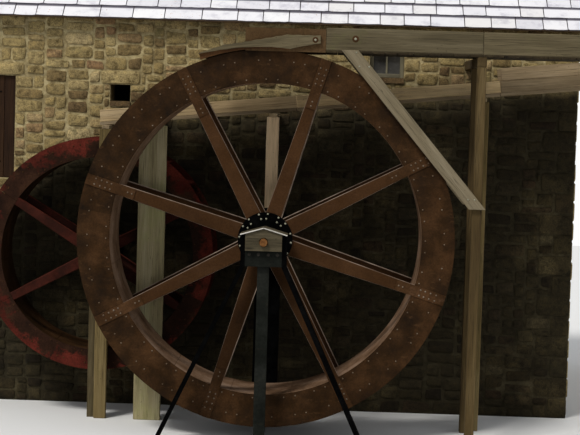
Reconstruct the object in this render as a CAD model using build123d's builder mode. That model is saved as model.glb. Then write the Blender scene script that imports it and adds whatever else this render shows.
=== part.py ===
from build123d import *
import os
from dataclasses import dataclass
from math import cos, radians, sin, tan

os.makedirs("parts", exist_ok=True)

# Watermill: a stone mill building with two overshot steel wheels in front of its long wall,
# each fed by its own timber launder. Millimetres, +X along the front wall, +Y into the
# building, +Z up. The origin is on the ground, under the middle of the whole mill.

# Big wheel
big_radius = 2300
big_width = 960
big_shroud_depth = 400
big_spoke_count = 8
big_bucket_count = 32
big_spoke_phase = 27.8
big_spoke_root_width = 195
big_spoke_tip_width = 130
big_hub_radius = 333
big_boss_radius = 180
big_axle_radius = 90
pit_clearance = 150

# Red wheel, smaller, to the left of the big one and nearer the wall
red_radius = 1500
red_width = 800
red_shroud_depth = 260
red_spoke_count = 6
red_bucket_count = 24
red_spoke_phase = 28.3
red_spoke_root_width = 140
red_spoke_tip_width = 105
red_hub_radius = 250
red_boss_radius = 130
red_axle_radius = 65
red_wheel_left = 2215
red_wheel_drop = 350

# Plate work of both wheels
shroud_thickness = 12
sole_thickness = 12
bucket_thickness = 10
bucket_riser_share = 0.36
bucket_lean = 12.5
plate_joint_gap = 4
sole_plates_per_spoke = 2
spoke_depth = 70
spoke_gap = 6
strap_thickness = 12
strap_length = 620
hub_thickness = 30
boss_length = 60
hub_fit = 0.1
bearing_gap = 20
axle_end_gap = 5

# Front bearing of the big wheel, on its own steel frame
journal_radius = 46.5
journal_proud = 55
bearing_clearance = 0.3
front_bearing_gap = 80
bearing_length = 210
bearing_width = 300
bearing_rise = 95
saddle_drop = 107
saddle_height = 190
saddle_width = 440
upright_width = 55
upright_gap = 4
leg_width = 58
leg_splay = 25
frame_post_width = 140
frame_depth = 240

# Timber cover over the front bearing
cover_eaves_rise = 100
cover_roof_pitch = 16
cover_roof_half_span = 285
cover_roof_thickness = 20
cover_board = 22
cover_front_gap = 38
cover_roof_overhang = 25
cover_shaft_gap = 6

# Mill building
wall_thickness = 500
building_depth = 5500
hub_to_left_end = 5000
hub_to_right_end = 4000
eaves_above_hub = 2690
eaves_reach = 200
verge_reach = 60
roof_pitch = 36
roof_thickness = 45
ridge_half_width = 210
ridge_thickness = 60
eaves_board_depth = 60
eaves_board_height = 110
floor_above_hub = 450
floor_thickness = 200

# Openings of the building
window_left = 1232
window_width = 458
window_height = 500
window_sill_above_hub = 2035
window_frame_width = 55
window_frame_depth = 60
glass_thickness = 6
sill_height = 70
sill_proud = 35
reveal = 90
shutter_right = 3490
shutter_width = 900
shutter_height = 1370
shutter_base_above_hub = 550
shutter_thickness = 45
shutter_set = 30
slot_left = 2220
slot_width = 270
slot_height = 220
slot_base_above_hub = 1620
door_width = 1050
door_height = 2050
door_thickness = 50
rear_window_spread = 2300
axle_hole_gap = 40

# Upper launder, which feeds the big wheel
launder_reach = 5400
launder_start = 665
launder_below_crown = 18
launder_height = 300
launder_board = 50
launder_floor = 30
trestle_spacing = 2300
first_trestle_from_hub = 2550
trestle_count = 2
trestle_post = 115
trestle_cap = 120
brace_top = 956
brace_lap = 38
brace_foot_above_hub = 447
brace_width = 157
brace_thickness = 50

# Steel chute at the end of the upper launder, and its splash board
chute_left = 306
chute_height = 280
chute_plate = 8
chute_gap = 12
chute_lip_angle = 20
splash_thickness = 40

# Lower launder, which feeds the red wheel
lower_left = 2230
lower_right = 5250
lower_launder_clearance = 155
lower_slope = 0.1015
lower_width = 620
lower_side_height = 200
lower_head_height = 364
lower_head_start = 2900
lower_board = 45
bearer_width = 100
bearer_height = 45
lower_post_width = 160
lower_post_depth = 90
lower_post_gap = 10
broad_post_width = 350
left_post_from_hub = -2112
broad_post_from_hub = -1505
middle_post_from_hub = 12
right_post_from_hub = 2661
end_post_from_hub = 4900

# Bearings behind the big wheel, at the red wheel's front and on the wall
rear_block_length = 150
rear_block_width = 320
rear_block_height = 340
red_block_width = 250
red_block_length = 70
red_block_height = 240
red_prop_width = 140
wall_block_length = 100
wall_block_width = 360
shaft_into_mill = 250

# Places worked out from the sizes above: the whole mill is centred over the origin
boss_reach = hub_thickness + boss_length
bearing_back = boss_reach + front_bearing_gap
frame_reach = bearing_back + (bearing_length + frame_depth) / 2
cover_reach = frame_reach + cover_front_gap + cover_board
front_reach = cover_reach + max(cover_roof_overhang, journal_proud)
lower_post_setback = big_width + launder_board + brace_thickness + lower_post_gap
red_setback = lower_post_setback + lower_post_depth + red_block_length + bearing_gap + hub_thickness
wall_setback = red_setback + red_width + boss_reach + bearing_gap + wall_block_length
hub_x = (hub_to_left_end + verge_reach - launder_reach) / 2
wheel_y = (front_reach - wall_setback - building_depth - eaves_reach) / 2
hub_z = big_radius + pit_clearance

wall_front = wheel_y + wall_setback
wall_back = wall_front + building_depth
wall_left = hub_x - hub_to_left_end
wall_right = hub_x + hub_to_right_end
wall_length = wall_right - wall_left
ridge_y = (wall_front + wall_back) / 2
eaves_y = wall_front - eaves_reach
eaves_z = hub_z + eaves_above_hub
roof_rise = tan(radians(roof_pitch))
roof_drop = roof_thickness / cos(radians(roof_pitch))
floor_z = hub_z + floor_above_hub
building_centre = (wall_left + wall_right) / 2


@dataclass
class Wheel:
    """One overshot wheel: where its hub is and the sizes of its plate work."""
    x: float
    z: float
    front: float
    radius: float
    width: float
    shroud_depth: float
    spokes: int
    buckets: int
    phase: float
    root_width: float
    tip_width: float
    hub_radius: float
    axle_radius: float

    @property
    def back(self):
        return self.front + self.width

    @property
    def inner_radius(self):
        return self.radius - self.shroud_depth

    def plane(self, y):
        """A plane parallel to the wheel's face at depth y, centred on the axle."""
        return Plane(origin=(self.x, y, self.z), x_dir=(1, 0, 0), z_dir=(0, -1, 0))


big = Wheel(
    hub_x, hub_z, wheel_y, big_radius, big_width, big_shroud_depth, big_spoke_count, big_bucket_count,
    big_spoke_phase, big_spoke_root_width, big_spoke_tip_width, big_hub_radius, big_axle_radius,
)
red = Wheel(
    hub_x - red_wheel_left, hub_z - red_wheel_drop, wheel_y + red_setback, red_radius, red_width,
    red_shroud_depth, red_spoke_count, red_bucket_count, red_spoke_phase, red_spoke_root_width,
    red_spoke_tip_width, red_hub_radius, red_axle_radius,
)


def save(builder, name):
    """Label a finished piece and write it to its own file."""
    builder.part.label = name
    export_step(builder.part, f"parts/{name}.step")


def face_plane(y):
    """A plane facing the front at depth y, with its x and y along the mill's X and Z."""
    return Plane(origin=(0, y, 0), x_dir=(1, 0, 0), z_dir=(0, -1, 0))


def block(x0, x1, y0, y1, z0, z1, mode=Mode.ADD):
    """A squared piece between its lowest and highest corner."""
    with Locations((x0, y0, z0)):
        Box(x1 - x0, y1 - y0, z1 - z0, align=(Align.MIN, Align.MIN, Align.MIN), mode=mode)


def polar(radius, angle):
    return (radius * cos(radians(angle)), radius * sin(radians(angle)))


def underside(y):
    """Height of the roof's underside at depth y, on either slope."""
    return eaves_z + (min(y, 2 * ridge_y - y) - eaves_y) * roof_rise


# Wheels


def make_shrouds(wheel, name):
    """Front and back rims, each a ring of plates that butt behind the spoke ends."""
    with BuildPart() as shrouds:
        for y in (wheel.front, wheel.back - shroud_thickness):
            with BuildSketch(wheel.plane(y)):
                Circle(wheel.radius)
                Circle(wheel.inner_radius, mode=Mode.SUBTRACT)
                with PolarLocations(wheel.radius - wheel.shroud_depth / 2, wheel.spokes, wheel.phase):
                    Rectangle(wheel.shroud_depth * 2, plate_joint_gap, mode=Mode.SUBTRACT)
            extrude(amount=-shroud_thickness)
    save(shrouds, f"{name}_shrouds")


def make_sole(wheel, name):
    """The drum between the rims that closes the buckets at their inner end."""
    plates = wheel.spokes * sole_plates_per_spoke
    with BuildPart() as sole:
        with BuildSketch(wheel.plane(wheel.front + shroud_thickness)):
            Circle(wheel.inner_radius + sole_thickness)
            Circle(wheel.inner_radius, mode=Mode.SUBTRACT)
            first_joint = wheel.phase + 90 / plates
            with PolarLocations(wheel.inner_radius, plates, first_joint):
                Rectangle(sole_thickness * 6, plate_joint_gap, mode=Mode.SUBTRACT)
        extrude(amount=-(wheel.width - 2 * shroud_thickness))
    save(sole, f"{name}_sole")


def make_buckets(wheel, name):
    """Bent plates that hold the water: a riser off the sole, then a board that leans back to the rim."""
    base = wheel.inner_radius + sole_thickness
    knee = base + wheel.shroud_depth * bucket_riser_share
    half = bucket_thickness / 2
    tip_x, tip_y = polar(wheel.radius, -bucket_lean)
    tip_in_x, tip_in_y = polar(wheel.radius - bucket_thickness * 1.4, -bucket_lean)
    outline = [
        (base, -half), (knee - half, -half), (tip_in_x, tip_in_y), (tip_x, tip_y), (knee + half, half),
        (base, half),
    ]
    with BuildPart() as buckets:
        with BuildSketch(wheel.plane(wheel.front + shroud_thickness)):
            with PolarLocations(0, wheel.buckets, wheel.phase + 180 / wheel.buckets):
                Polygon(*outline, align=None)
        extrude(amount=-(wheel.width - 2 * shroud_thickness))
    save(buckets, f"{name}_buckets")


def make_spokes(wheel, name):
    """Tapered arms from hub to rim, front and back, whose roots all but meet under the hub plate."""
    root_radius = (wheel.root_width + spoke_gap) / 2 / tan(radians(180 / wheel.spokes))
    root = wheel.root_width / 2
    tip = wheel.tip_width / 2
    end = wheel.inner_radius
    outline = [(root_radius, -root), (end, -tip), (end, tip), (root_radius, root)]
    with BuildPart() as spokes:
        for y in (wheel.front, wheel.back - spoke_depth):
            with BuildSketch(wheel.plane(y)):
                with PolarLocations(0, wheel.spokes, wheel.phase):
                    Polygon(*outline, align=None)
                Circle(end, mode=Mode.INTERSECT)
            extrude(amount=-spoke_depth)
    save(spokes, f"{name}_spokes")


def make_straps(wheel, name):
    """Straps over the rim and the spoke's end, which tie the arms to the shrouds."""
    with BuildPart() as straps:
        for y in (wheel.front - strap_thickness, wheel.back):
            with BuildSketch(wheel.plane(y)):
                with PolarLocations(wheel.radius - strap_length / 2, wheel.spokes, wheel.phase):
                    Rectangle(strap_length, wheel.tip_width)
                Circle(wheel.radius, mode=Mode.INTERSECT)
            extrude(amount=-strap_thickness)
    save(straps, f"{name}_straps")


def make_hubs(wheel, name, bosses):
    """Round plates that clamp the spokes from outside, with a boss on the axle at the given faces."""
    plates = [(wheel.front, hub_thickness, wheel.hub_radius), (wheel.back, -hub_thickness, wheel.hub_radius)]
    with BuildPart() as hubs:
        for y, reach, radius in plates + bosses:
            with BuildSketch(wheel.plane(y)):
                Circle(radius)
                Circle(wheel.axle_radius + hub_fit, mode=Mode.SUBTRACT)
            extrude(amount=reach)
    save(hubs, f"{name}_hubs")


for wheel, name in ((big, "big_wheel"), (red, "red_wheel")):
    make_shrouds(wheel, name)
    make_sole(wheel, name)
    make_buckets(wheel, name)
    make_spokes(wheel, name)
make_straps(big, "big_wheel")
big_bosses = [(big.front, boss_reach, big_boss_radius), (big.back, -boss_reach, big_boss_radius)]
make_hubs(big, "big_wheel", big_bosses)
make_hubs(red, "red_wheel", [(red.back, -boss_reach, red_boss_radius)])

# Axles: a journal in the front bearing, then the full shaft through both hubs into the mill
shaft_end = wall_front + wall_thickness + shaft_into_mill
cover_y = wheel_y - cover_reach
lower_post_y = wheel_y + lower_post_setback
lower_post_back = lower_post_y + lower_post_depth


def make_axle(wheel, name, journal_start, shoulder):
    with BuildPart() as axle:
        for radius, start, end in (
            (journal_radius, journal_start, shoulder), (wheel.axle_radius, shoulder, shaft_end),
        ):
            with BuildSketch(wheel.plane(start)):
                Circle(radius)
            extrude(amount=-(end - start))
    save(axle, f"{name}_axle")


make_axle(big, "big_wheel", cover_y - journal_proud, wheel_y - boss_reach)
make_axle(red, "red_wheel", lower_post_back + axle_end_gap, red.front - hub_thickness)

# Front bearing of the big wheel: saddle on a column, uprights, splayed legs, bearing block
bearing_front = wheel_y - bearing_back - bearing_length
frame_front = bearing_front + (bearing_length - frame_depth) / 2
frame_rear = frame_front + frame_depth
saddle_top = hub_z - saddle_drop
saddle_base = saddle_top - saddle_height
saddle_half = saddle_width / 2
frame_post_half = frame_post_width / 2
with BuildPart() as column:
    block(hub_x - saddle_half, hub_x + saddle_half, frame_front, frame_rear, saddle_base, saddle_top)
    block(hub_x - frame_post_half, hub_x + frame_post_half, frame_front + frame_depth / 4,
          frame_rear - frame_depth / 4, 0, saddle_base)
save(column, "bearing_column")


def paired(inner, outer):
    """Both mirrored spans, left and right of the hub, of a piece between two distances from it."""
    return ((hub_x - outer, hub_x - inner), (hub_x + inner, hub_x + outer))


cover_half = saddle_half
cover_slope = tan(radians(cover_roof_pitch))
cover_peak = cover_eaves_rise + cover_half * cover_slope
upright_outer = cover_half + upright_width
upright_top = hub_z + cover_peak - upright_outer * cover_slope - upright_gap
with BuildPart() as uprights:
    for left, right in paired(cover_half, upright_outer):
        block(left, right, frame_front, frame_rear, saddle_base, upright_top)
save(uprights, "bearing_uprights")

leg_spread = saddle_base * tan(radians(leg_splay))
with BuildPart() as legs:
    with BuildSketch(face_plane(frame_front)):
        for side in (-1, 1):
            top_inner = hub_x + side * (upright_outer - leg_width)
            top_outer = hub_x + side * upright_outer
            foot = side * leg_spread
            Polygon(
                (top_inner, saddle_base), (top_outer, saddle_base), (top_outer + foot, 0),
                (top_inner + foot, 0), align=None,
            )
    extrude(amount=-frame_depth)
save(legs, "bearing_legs")

with BuildPart() as front_block:
    with BuildSketch(big.plane(bearing_front)):
        with Locations((0, (bearing_rise - saddle_drop) / 2)):
            Rectangle(bearing_width, bearing_rise + saddle_drop)
        Circle(journal_radius + bearing_clearance, mode=Mode.SUBTRACT)
    extrude(amount=-bearing_length)
save(front_block, "front_bearing")

# Timber cover over the bearing: boards between the uprights, and a small gabled roof
cover_back = frame_rear + cover_board
with BuildPart() as cover_box:
    for y in (cover_y, frame_rear):
        with BuildSketch(big.plane(y)):
            Polygon(
                (-cover_half, -saddle_drop), (cover_half, -saddle_drop), (cover_half, cover_eaves_rise),
                (0, cover_peak), (-cover_half, cover_eaves_rise), align=None,
            )
            Circle(journal_radius + cover_shaft_gap, mode=Mode.SUBTRACT)
        extrude(amount=-cover_board)
    for left, right in paired(cover_half - cover_board, cover_half):
        block(left, right, cover_y, cover_back, saddle_top, hub_z + cover_eaves_rise)
save(cover_box, "cover_box")

cover_eaves = cover_peak - cover_roof_half_span * cover_slope
cover_lift = cover_roof_thickness / cos(radians(cover_roof_pitch))
with BuildPart() as cover_roof:
    with BuildSketch(big.plane(cover_y - cover_roof_overhang)):
        Polygon(
            (-cover_roof_half_span, cover_eaves), (0, cover_peak), (cover_roof_half_span, cover_eaves),
            (cover_roof_half_span, cover_eaves + cover_lift), (0, cover_peak + cover_lift),
            (-cover_roof_half_span, cover_eaves + cover_lift), align=None,
        )
    extrude(amount=-(cover_back - cover_y + cover_roof_overhang))
save(cover_roof, "cover_roof")

# Bearings behind the wheels: a pier and block behind the big one, props and blocks elsewhere
rear_block_front = big.back + boss_reach + bearing_gap
rear_block_base = hub_z - rear_block_height / 2
wall_block_front = wall_front - wall_block_length


def bored_block(wheel, front, length, width, height, bore):
    """A bearing block around an axle, its width and height centred on it."""
    with BuildSketch(wheel.plane(front)) as section:
        Rectangle(width, height)
        Circle(bore + bearing_clearance, mode=Mode.SUBTRACT)
    extrude(section.sketch, amount=-length)


with BuildPart() as rear_bearing:
    bored_block(big, rear_block_front, rear_block_length, rear_block_width, rear_block_height,
                big_axle_radius)
save(rear_bearing, "rear_bearing")

with BuildPart() as rear_pier:
    block(hub_x - rear_block_width / 2, hub_x + rear_block_width / 2, rear_block_front,
          rear_block_front + rear_block_length, 0, rear_block_base)
save(rear_pier, "rear_bearing_post")

with BuildPart() as red_bearing:
    bored_block(red, lower_post_back, red_block_length, red_block_width, red_block_height, journal_radius)
save(red_bearing, "red_front_bearing")

with BuildPart() as red_prop:
    block(red.x - red_prop_width / 2, red.x + red_prop_width / 2, lower_post_back,
          lower_post_back + red_block_length, 0, red.z - red_block_height / 2)
save(red_prop, "red_bearing_post")

with BuildPart() as wall_bearings:
    for wheel in (big, red):
        bored_block(wheel, wall_block_front, wall_block_length, wall_block_width, wall_block_width,
                    wheel.axle_radius)
save(wall_bearings, "wall_bearings")

# Mill building: openings in the long walls, as (left, right, bottom, top)
window_x = hub_x + window_left
window_z = hub_z + window_sill_above_hub
front_window = (window_x, window_x + window_width, window_z, window_z + window_height)
shutter_x = hub_x - shutter_right - shutter_width
shutter_z = hub_z + shutter_base_above_hub
shutter_hole = (shutter_x, shutter_x + shutter_width, shutter_z, shutter_z + shutter_height)
slot_x = hub_x - slot_left
slot_z = hub_z + slot_base_above_hub
slot_hole = (slot_x, slot_x + slot_width, slot_z, slot_z + slot_height)
rear_windows = [
    (x - window_width / 2, x + window_width / 2, window_z, window_z + window_height)
    for x in (building_centre - rear_window_spread, building_centre + rear_window_spread)
]
rear_doorway = (building_centre - door_width / 2, building_centre + door_width / 2, 0, door_height)
inner_front = wall_front + wall_thickness
inner_back = wall_back - wall_thickness


def wall_profile(y0, y1):
    """Section of a long wall, cut to the roof's slope at its top."""
    with BuildSketch(Plane.YZ.offset(wall_left)) as section:
        Polygon((y0, 0), (y1, 0), (y1, underside(y1)), (y0, underside(y0)), align=None)
    extrude(section.sketch, amount=wall_length)


def with_sill(opening):
    """The hole in the wall for an opening that has a sill under it."""
    left, right, bottom, top = opening
    return (left, right, bottom - sill_height, top)


def cut_openings(y0, y1, openings):
    for left, right, bottom, top in openings:
        block(left, right, y0, y1, bottom, top, mode=Mode.SUBTRACT)


with BuildPart() as front_wall:
    wall_profile(wall_front, inner_front)
    cut_openings(wall_front, inner_front, (with_sill(front_window), shutter_hole, with_sill(slot_hole)))
    for wheel in (big, red):
        with BuildSketch(wheel.plane(wall_front)):
            Circle(wheel.axle_radius + axle_hole_gap)
        extrude(amount=-wall_thickness, mode=Mode.SUBTRACT)
save(front_wall, "front_wall")

with BuildPart() as back_wall:
    wall_profile(inner_back, wall_back)
    cut_openings(inner_back, wall_back, [with_sill(hole) for hole in rear_windows] + [rear_doorway])
save(back_wall, "back_wall")

for x, name in ((wall_left, "left_gable_wall"), (wall_right - wall_thickness, "right_gable_wall")):
    with BuildPart() as gable:
        with BuildSketch(Plane.YZ.offset(x)):
            Polygon(
                (inner_front, 0), (inner_back, 0), (inner_back, underside(inner_back)),
                (ridge_y, underside(ridge_y)), (inner_front, underside(inner_front)), align=None,
            )
        extrude(amount=wall_thickness)
    save(gable, name)

with BuildPart() as floor:
    block(wall_left + wall_thickness, wall_right - wall_thickness, inner_front, inner_back,
          floor_z - floor_thickness, floor_z)
save(floor, "upper_floor")

# Roof: two slopes that meet at the ridge, ridge stones over them, boards under the eaves
roof_left = wall_left - verge_reach
roof_length = wall_length + 2 * verge_reach
back_eaves_y = wall_back + eaves_reach
for y, name in ((eaves_y, "front_roof_slope"), (back_eaves_y, "back_roof_slope")):
    with BuildPart() as slope:
        with BuildSketch(Plane.YZ.offset(roof_left)):
            Polygon(
                (y, eaves_z), (ridge_y, underside(ridge_y)), (ridge_y, underside(ridge_y) + roof_drop),
                (y, eaves_z + roof_drop), align=None,
            )
        extrude(amount=roof_length)
    save(slope, name)

ridge_foot = underside(ridge_y - ridge_half_width) + roof_drop
ridge_peak = underside(ridge_y) + roof_drop
ridge_front = ridge_y - ridge_half_width
ridge_back = ridge_y + ridge_half_width
with BuildPart() as ridge:
    with BuildSketch(Plane.YZ.offset(roof_left)):
        Polygon(
            (ridge_front, ridge_foot), (ridge_y, ridge_peak), (ridge_back, ridge_foot),
            (ridge_back, ridge_foot + ridge_thickness), (ridge_y, ridge_peak + ridge_thickness),
            (ridge_front, ridge_foot + ridge_thickness), align=None,
        )
    extrude(amount=roof_length)
save(ridge, "roof_ridge")

with BuildPart() as eaves_boards:
    for wall_y, outwards in ((wall_front, -1), (wall_back, 1)):
        outer_y = wall_y + outwards * eaves_board_depth
        base_z = underside(outer_y) - eaves_board_height
        with BuildSketch(Plane.YZ.offset(wall_left)):
            Polygon(
                (wall_y, base_z), (outer_y, base_z), (outer_y, underside(outer_y)),
                (wall_y, underside(wall_y)), align=None,
            )
        extrude(amount=wall_length)
save(eaves_boards, "eaves_boards")

# Windows, sills, shutter and door, set back in the wall's reveal
front_depth = (wall_front + reveal, wall_front + reveal + window_frame_depth)
back_depth = (wall_back - reveal - window_frame_depth, wall_back - reveal)
glazed = [(front_window, front_depth)] + [(hole, back_depth) for hole in rear_windows]
with BuildPart() as window_frames:
    for (left, right, bottom, top), (y0, y1) in glazed:
        block(left, right, y0, y1, bottom, top)
        block(left + window_frame_width, right - window_frame_width, y0, y1, bottom + window_frame_width,
              top - window_frame_width, mode=Mode.SUBTRACT)
save(window_frames, "window_frames")

with BuildPart() as window_glass:
    for (left, right, bottom, top), (y0, y1) in glazed:
        middle = (y0 + y1) / 2
        block(left + window_frame_width, right - window_frame_width, middle - glass_thickness / 2,
              middle + glass_thickness / 2, bottom + window_frame_width, top - window_frame_width)
save(window_glass, "window_glass")

with BuildPart() as sills:
    for left, right, bottom, top in (front_window, slot_hole):
        block(left, right, wall_front - sill_proud, front_depth[1], bottom - sill_height, bottom)
    for left, right, bottom, top in rear_windows:
        block(left, right, back_depth[0], wall_back + sill_proud, bottom - sill_height, bottom)
save(sills, "sills")

with BuildPart() as shutter:
    left, right, bottom, top = shutter_hole
    block(left, right, wall_front + shutter_set, wall_front + shutter_set + shutter_thickness, bottom, top)
save(shutter, "upper_shutter")

with BuildPart() as door:
    left, right, bottom, top = rear_doorway
    block(left, right, wall_back - reveal - door_thickness, wall_back - reveal, bottom, top)
save(door, "back_door")

# Upper launder: a floor with side boards on it, on trestles, level, a little wider than the big wheel
launder_front = wheel_y - launder_board
launder_back = wheel_y + big_width + launder_board
launder_left = hub_x + launder_start
launder_right = hub_x + launder_reach
launder_z = hub_z + big_radius - launder_below_crown
with BuildPart() as upper_floor_boards:
    block(launder_left, launder_right, launder_front, launder_back, launder_z, launder_z + launder_floor)
save(upper_floor_boards, "upper_launder_floor")

with BuildPart() as upper_sides:
    for y in (launder_front, launder_back - launder_board):
        block(launder_left, launder_right, y, y + launder_board, launder_z + launder_floor,
              launder_z + launder_height)
save(upper_sides, "upper_launder_sides")

trestles = [hub_x + first_trestle_from_hub + index * trestle_spacing for index in range(trestle_count)]
post_half = trestle_post / 2
cap_z = launder_z - trestle_cap
with BuildPart() as posts:
    for x in trestles:
        for y in (launder_front, launder_back - trestle_post):
            block(x - post_half, x + post_half, y, y + trestle_post, 0, cap_z)
save(posts, "upper_launder_posts")

with BuildPart() as caps:
    for x in trestles:
        cap_end = wall_front if x < wall_right else launder_back
        block(x - post_half, x + post_half, launder_front, cap_end, cap_z, launder_z)
save(caps, "upper_launder_caps")

# Braces from the first trestle up to the launder's end, outside its front and back boards
brace_x0 = hub_x + brace_top
brace_x1 = trestles[0]
brace_z0 = launder_z + brace_lap
brace_z1 = hub_z + brace_foot_above_hub
brace_run = ((brace_x1 - brace_x0) ** 2 + (brace_z0 - brace_z1) ** 2) ** 0.5
brace_half = brace_width / 2 * brace_run / (brace_z0 - brace_z1)
with BuildPart() as braces:
    for y in (launder_front - brace_thickness, launder_back):
        with BuildSketch(face_plane(y)):
            Polygon(
                (brace_x0 - brace_half, brace_z0), (brace_x0 + brace_half, brace_z0),
                (brace_x1 + brace_half, brace_z1), (brace_x1 - brace_half, brace_z1), align=None,
            )
        extrude(amount=-brace_thickness)
save(braces, "upper_launder_braces")

# Steel chute that carries the water on over the crown of the wheel
chute_x = hub_x - chute_left
chute_radius = big_radius + chute_gap
with BuildPart() as chute_sides:
    for y in (launder_front, launder_back - chute_plate):
        block(chute_x, launder_left, y, y + chute_plate, launder_z, launder_z + chute_height)
save(chute_sides, "chute_sides")

with BuildPart() as chute_floor:
    lip_x, lip_z = polar(chute_radius, 90 + chute_lip_angle)
    lip_out_x, lip_out_z = polar(chute_radius + chute_plate, 90 + chute_lip_angle)
    floor_right = launder_left - hub_x
    with BuildSketch(big.plane(launder_front + chute_plate)):
        with BuildLine():
            inner_arc = CenterArc((0, 0), chute_radius, 90, chute_lip_angle)
            outer_arc = CenterArc((0, 0), chute_radius + chute_plate, 90, chute_lip_angle)
            Line(inner_arc @ 1, outer_arc @ 1)
            Polyline(
                outer_arc @ 0, (floor_right, chute_radius + chute_plate), (floor_right, chute_radius),
                inner_arc @ 0,
            )
        make_face()
    extrude(amount=-(launder_back - launder_front - 2 * chute_plate))
save(chute_floor, "chute_floor")

# Splash board: a rough plank with a wavy lower edge, bolted outside the chute
splash_top = ((-865, 2236), (-561, 2344), (-304, 2388), (196, 2487), (601, 2487))
splash_bottom = ((604, 2389), (239, 2311), (17, 2330), (-401, 2311), (-865, 2222))
with BuildPart() as splash:
    with BuildSketch(big.plane(launder_front - splash_thickness)):
        Polygon(*splash_top, *splash_bottom, align=None)
    extrude(amount=-splash_thickness)
save(splash, "splash_board")

# Lower launder: falls to the left, over the middle of the red wheel
lower_middle = red.front + red_width / 2
lower_front = lower_middle - lower_width / 2
lower_back = lower_middle + lower_width / 2


def lower_base(x):
    """Height of the lower launder's underside at distance x from the big wheel's axle."""
    return red.z + red_radius + lower_launder_clearance + lower_slope * (x + red_wheel_left)


with BuildPart() as lower_floor:
    with BuildSketch(face_plane(lower_front)):
        Polygon(
            (hub_x - lower_left, lower_base(-lower_left)), (hub_x + lower_right, lower_base(lower_right)),
            (hub_x + lower_right, lower_base(lower_right) + lower_board),
            (hub_x - lower_left, lower_base(-lower_left) + lower_board), align=None,
        )
    extrude(amount=-lower_width)
save(lower_floor, "lower_launder_floor")

with BuildPart() as lower_sides:
    for y in (lower_front, lower_back - lower_board):
        with BuildSketch(face_plane(y)):
            Polygon(
                (hub_x - lower_left, lower_base(-lower_left) + lower_board),
                (hub_x + lower_right, lower_base(lower_right) + lower_board),
                (hub_x + lower_right, lower_base(lower_right) + lower_head_height),
                (hub_x + lower_head_start, lower_base(lower_head_start) + lower_head_height),
                (hub_x + lower_head_start, lower_base(lower_head_start) + lower_side_height),
                (hub_x - lower_left, lower_base(-lower_left) + lower_side_height), align=None,
            )
        extrude(amount=-lower_board)
save(lower_sides, "lower_launder_sides")

# Bearers under the lower launder, on posts in front and in the wall or on posts behind
lower_supports = {
    left_post_from_hub: lower_post_width, broad_post_from_hub: broad_post_width,
    middle_post_from_hub: lower_post_width, right_post_from_hub: lower_post_width,
    end_post_from_hub: lower_post_width,
}
rear_post_y = wall_front - lower_post_depth
with BuildPart() as bearers:
    for x in lower_supports:
        half = bearer_width / 2
        top = lower_base(x - half)
        block(hub_x + x - half, hub_x + x + half, lower_post_y, wall_front, top - bearer_height, top)
save(bearers, "lower_launder_bearers")

with BuildPart() as lower_posts:
    for x, width in lower_supports.items():
        left = hub_x + x - width / 2
        top = lower_base(x - bearer_width / 2) - bearer_height
        foot = hub_z + rear_block_height / 2 if x == middle_post_from_hub else 0
        depth = lower_post_y if foot == 0 else rear_block_front
        places = (depth, rear_post_y) if hub_x + x > wall_right else (depth,)
        for y in places:
            block(left, left + width, y, y + lower_post_depth, foot, top)
save(lower_posts, "lower_launder_posts")
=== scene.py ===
# %% [markdown]
# # A watermill with two wheels
#
# The construction comes ready made, as named nodes that never move. This notebook dresses them:
# stones on the walls, slates on the roof, planks, bolts, and a procedural finish on everything.
# We start by loading the frame.

# %% Load the frame
import bpy
import random
from dataclasses import dataclass
from math import atan2, copysign, cos, hypot, pi, radians, sin, sqrt, tan
from mathutils import Matrix, Vector
from mathutils.geometry import tessellate_polygon


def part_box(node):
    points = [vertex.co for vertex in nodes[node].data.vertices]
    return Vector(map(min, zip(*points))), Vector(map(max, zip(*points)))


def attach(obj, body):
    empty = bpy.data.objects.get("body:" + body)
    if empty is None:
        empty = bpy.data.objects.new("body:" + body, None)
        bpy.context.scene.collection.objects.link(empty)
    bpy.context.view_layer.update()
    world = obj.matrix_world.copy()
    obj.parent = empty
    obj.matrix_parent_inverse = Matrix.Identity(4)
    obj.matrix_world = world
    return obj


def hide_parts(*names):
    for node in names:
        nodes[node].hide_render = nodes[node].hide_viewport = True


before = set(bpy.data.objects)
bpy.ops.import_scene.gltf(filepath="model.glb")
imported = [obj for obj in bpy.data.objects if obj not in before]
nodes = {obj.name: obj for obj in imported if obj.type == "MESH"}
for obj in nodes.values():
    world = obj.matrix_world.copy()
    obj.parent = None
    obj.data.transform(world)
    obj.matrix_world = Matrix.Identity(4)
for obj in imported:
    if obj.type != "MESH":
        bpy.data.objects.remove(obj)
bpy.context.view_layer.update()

# %% [markdown]
# ## The two wheels as numbers
#
# Spokes, bolts and worn plates are all placed round a wheel's axle. We could type its place and the
# radii in, but reading them from the nodes keeps them true if the construction changes. Only the
# counts, the first spoke's angle and the widths of a spoke are typed.

# %% Wheel measures
SOLE_PLATE = 0.012


@dataclass
class Wheel:
    """Where a wheel's axle is and the radii of its plate work."""
    body: str
    x: float
    z: float
    front: float
    back: float
    radius: float
    inner: float
    spokes: int
    buckets: int
    phase: float
    root: float
    tip: float

    def at(self, radius, angle, y, aside=0.0):
        """The point at a radius and an angle in degrees, moved aside along the rim."""
        a = radians(angle)
        x = self.x + radius * cos(a) - aside * sin(a)
        z = self.z + radius * sin(a) + aside * cos(a)
        return Vector((x, y, z))

    def spoke_angles(self):
        return [self.phase + 360 * i / self.spokes for i in range(self.spokes)]

    def bucket_angles(self):
        return [self.phase + 180 / self.buckets + 360 * i / self.buckets for i in range(self.buckets)]


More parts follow.
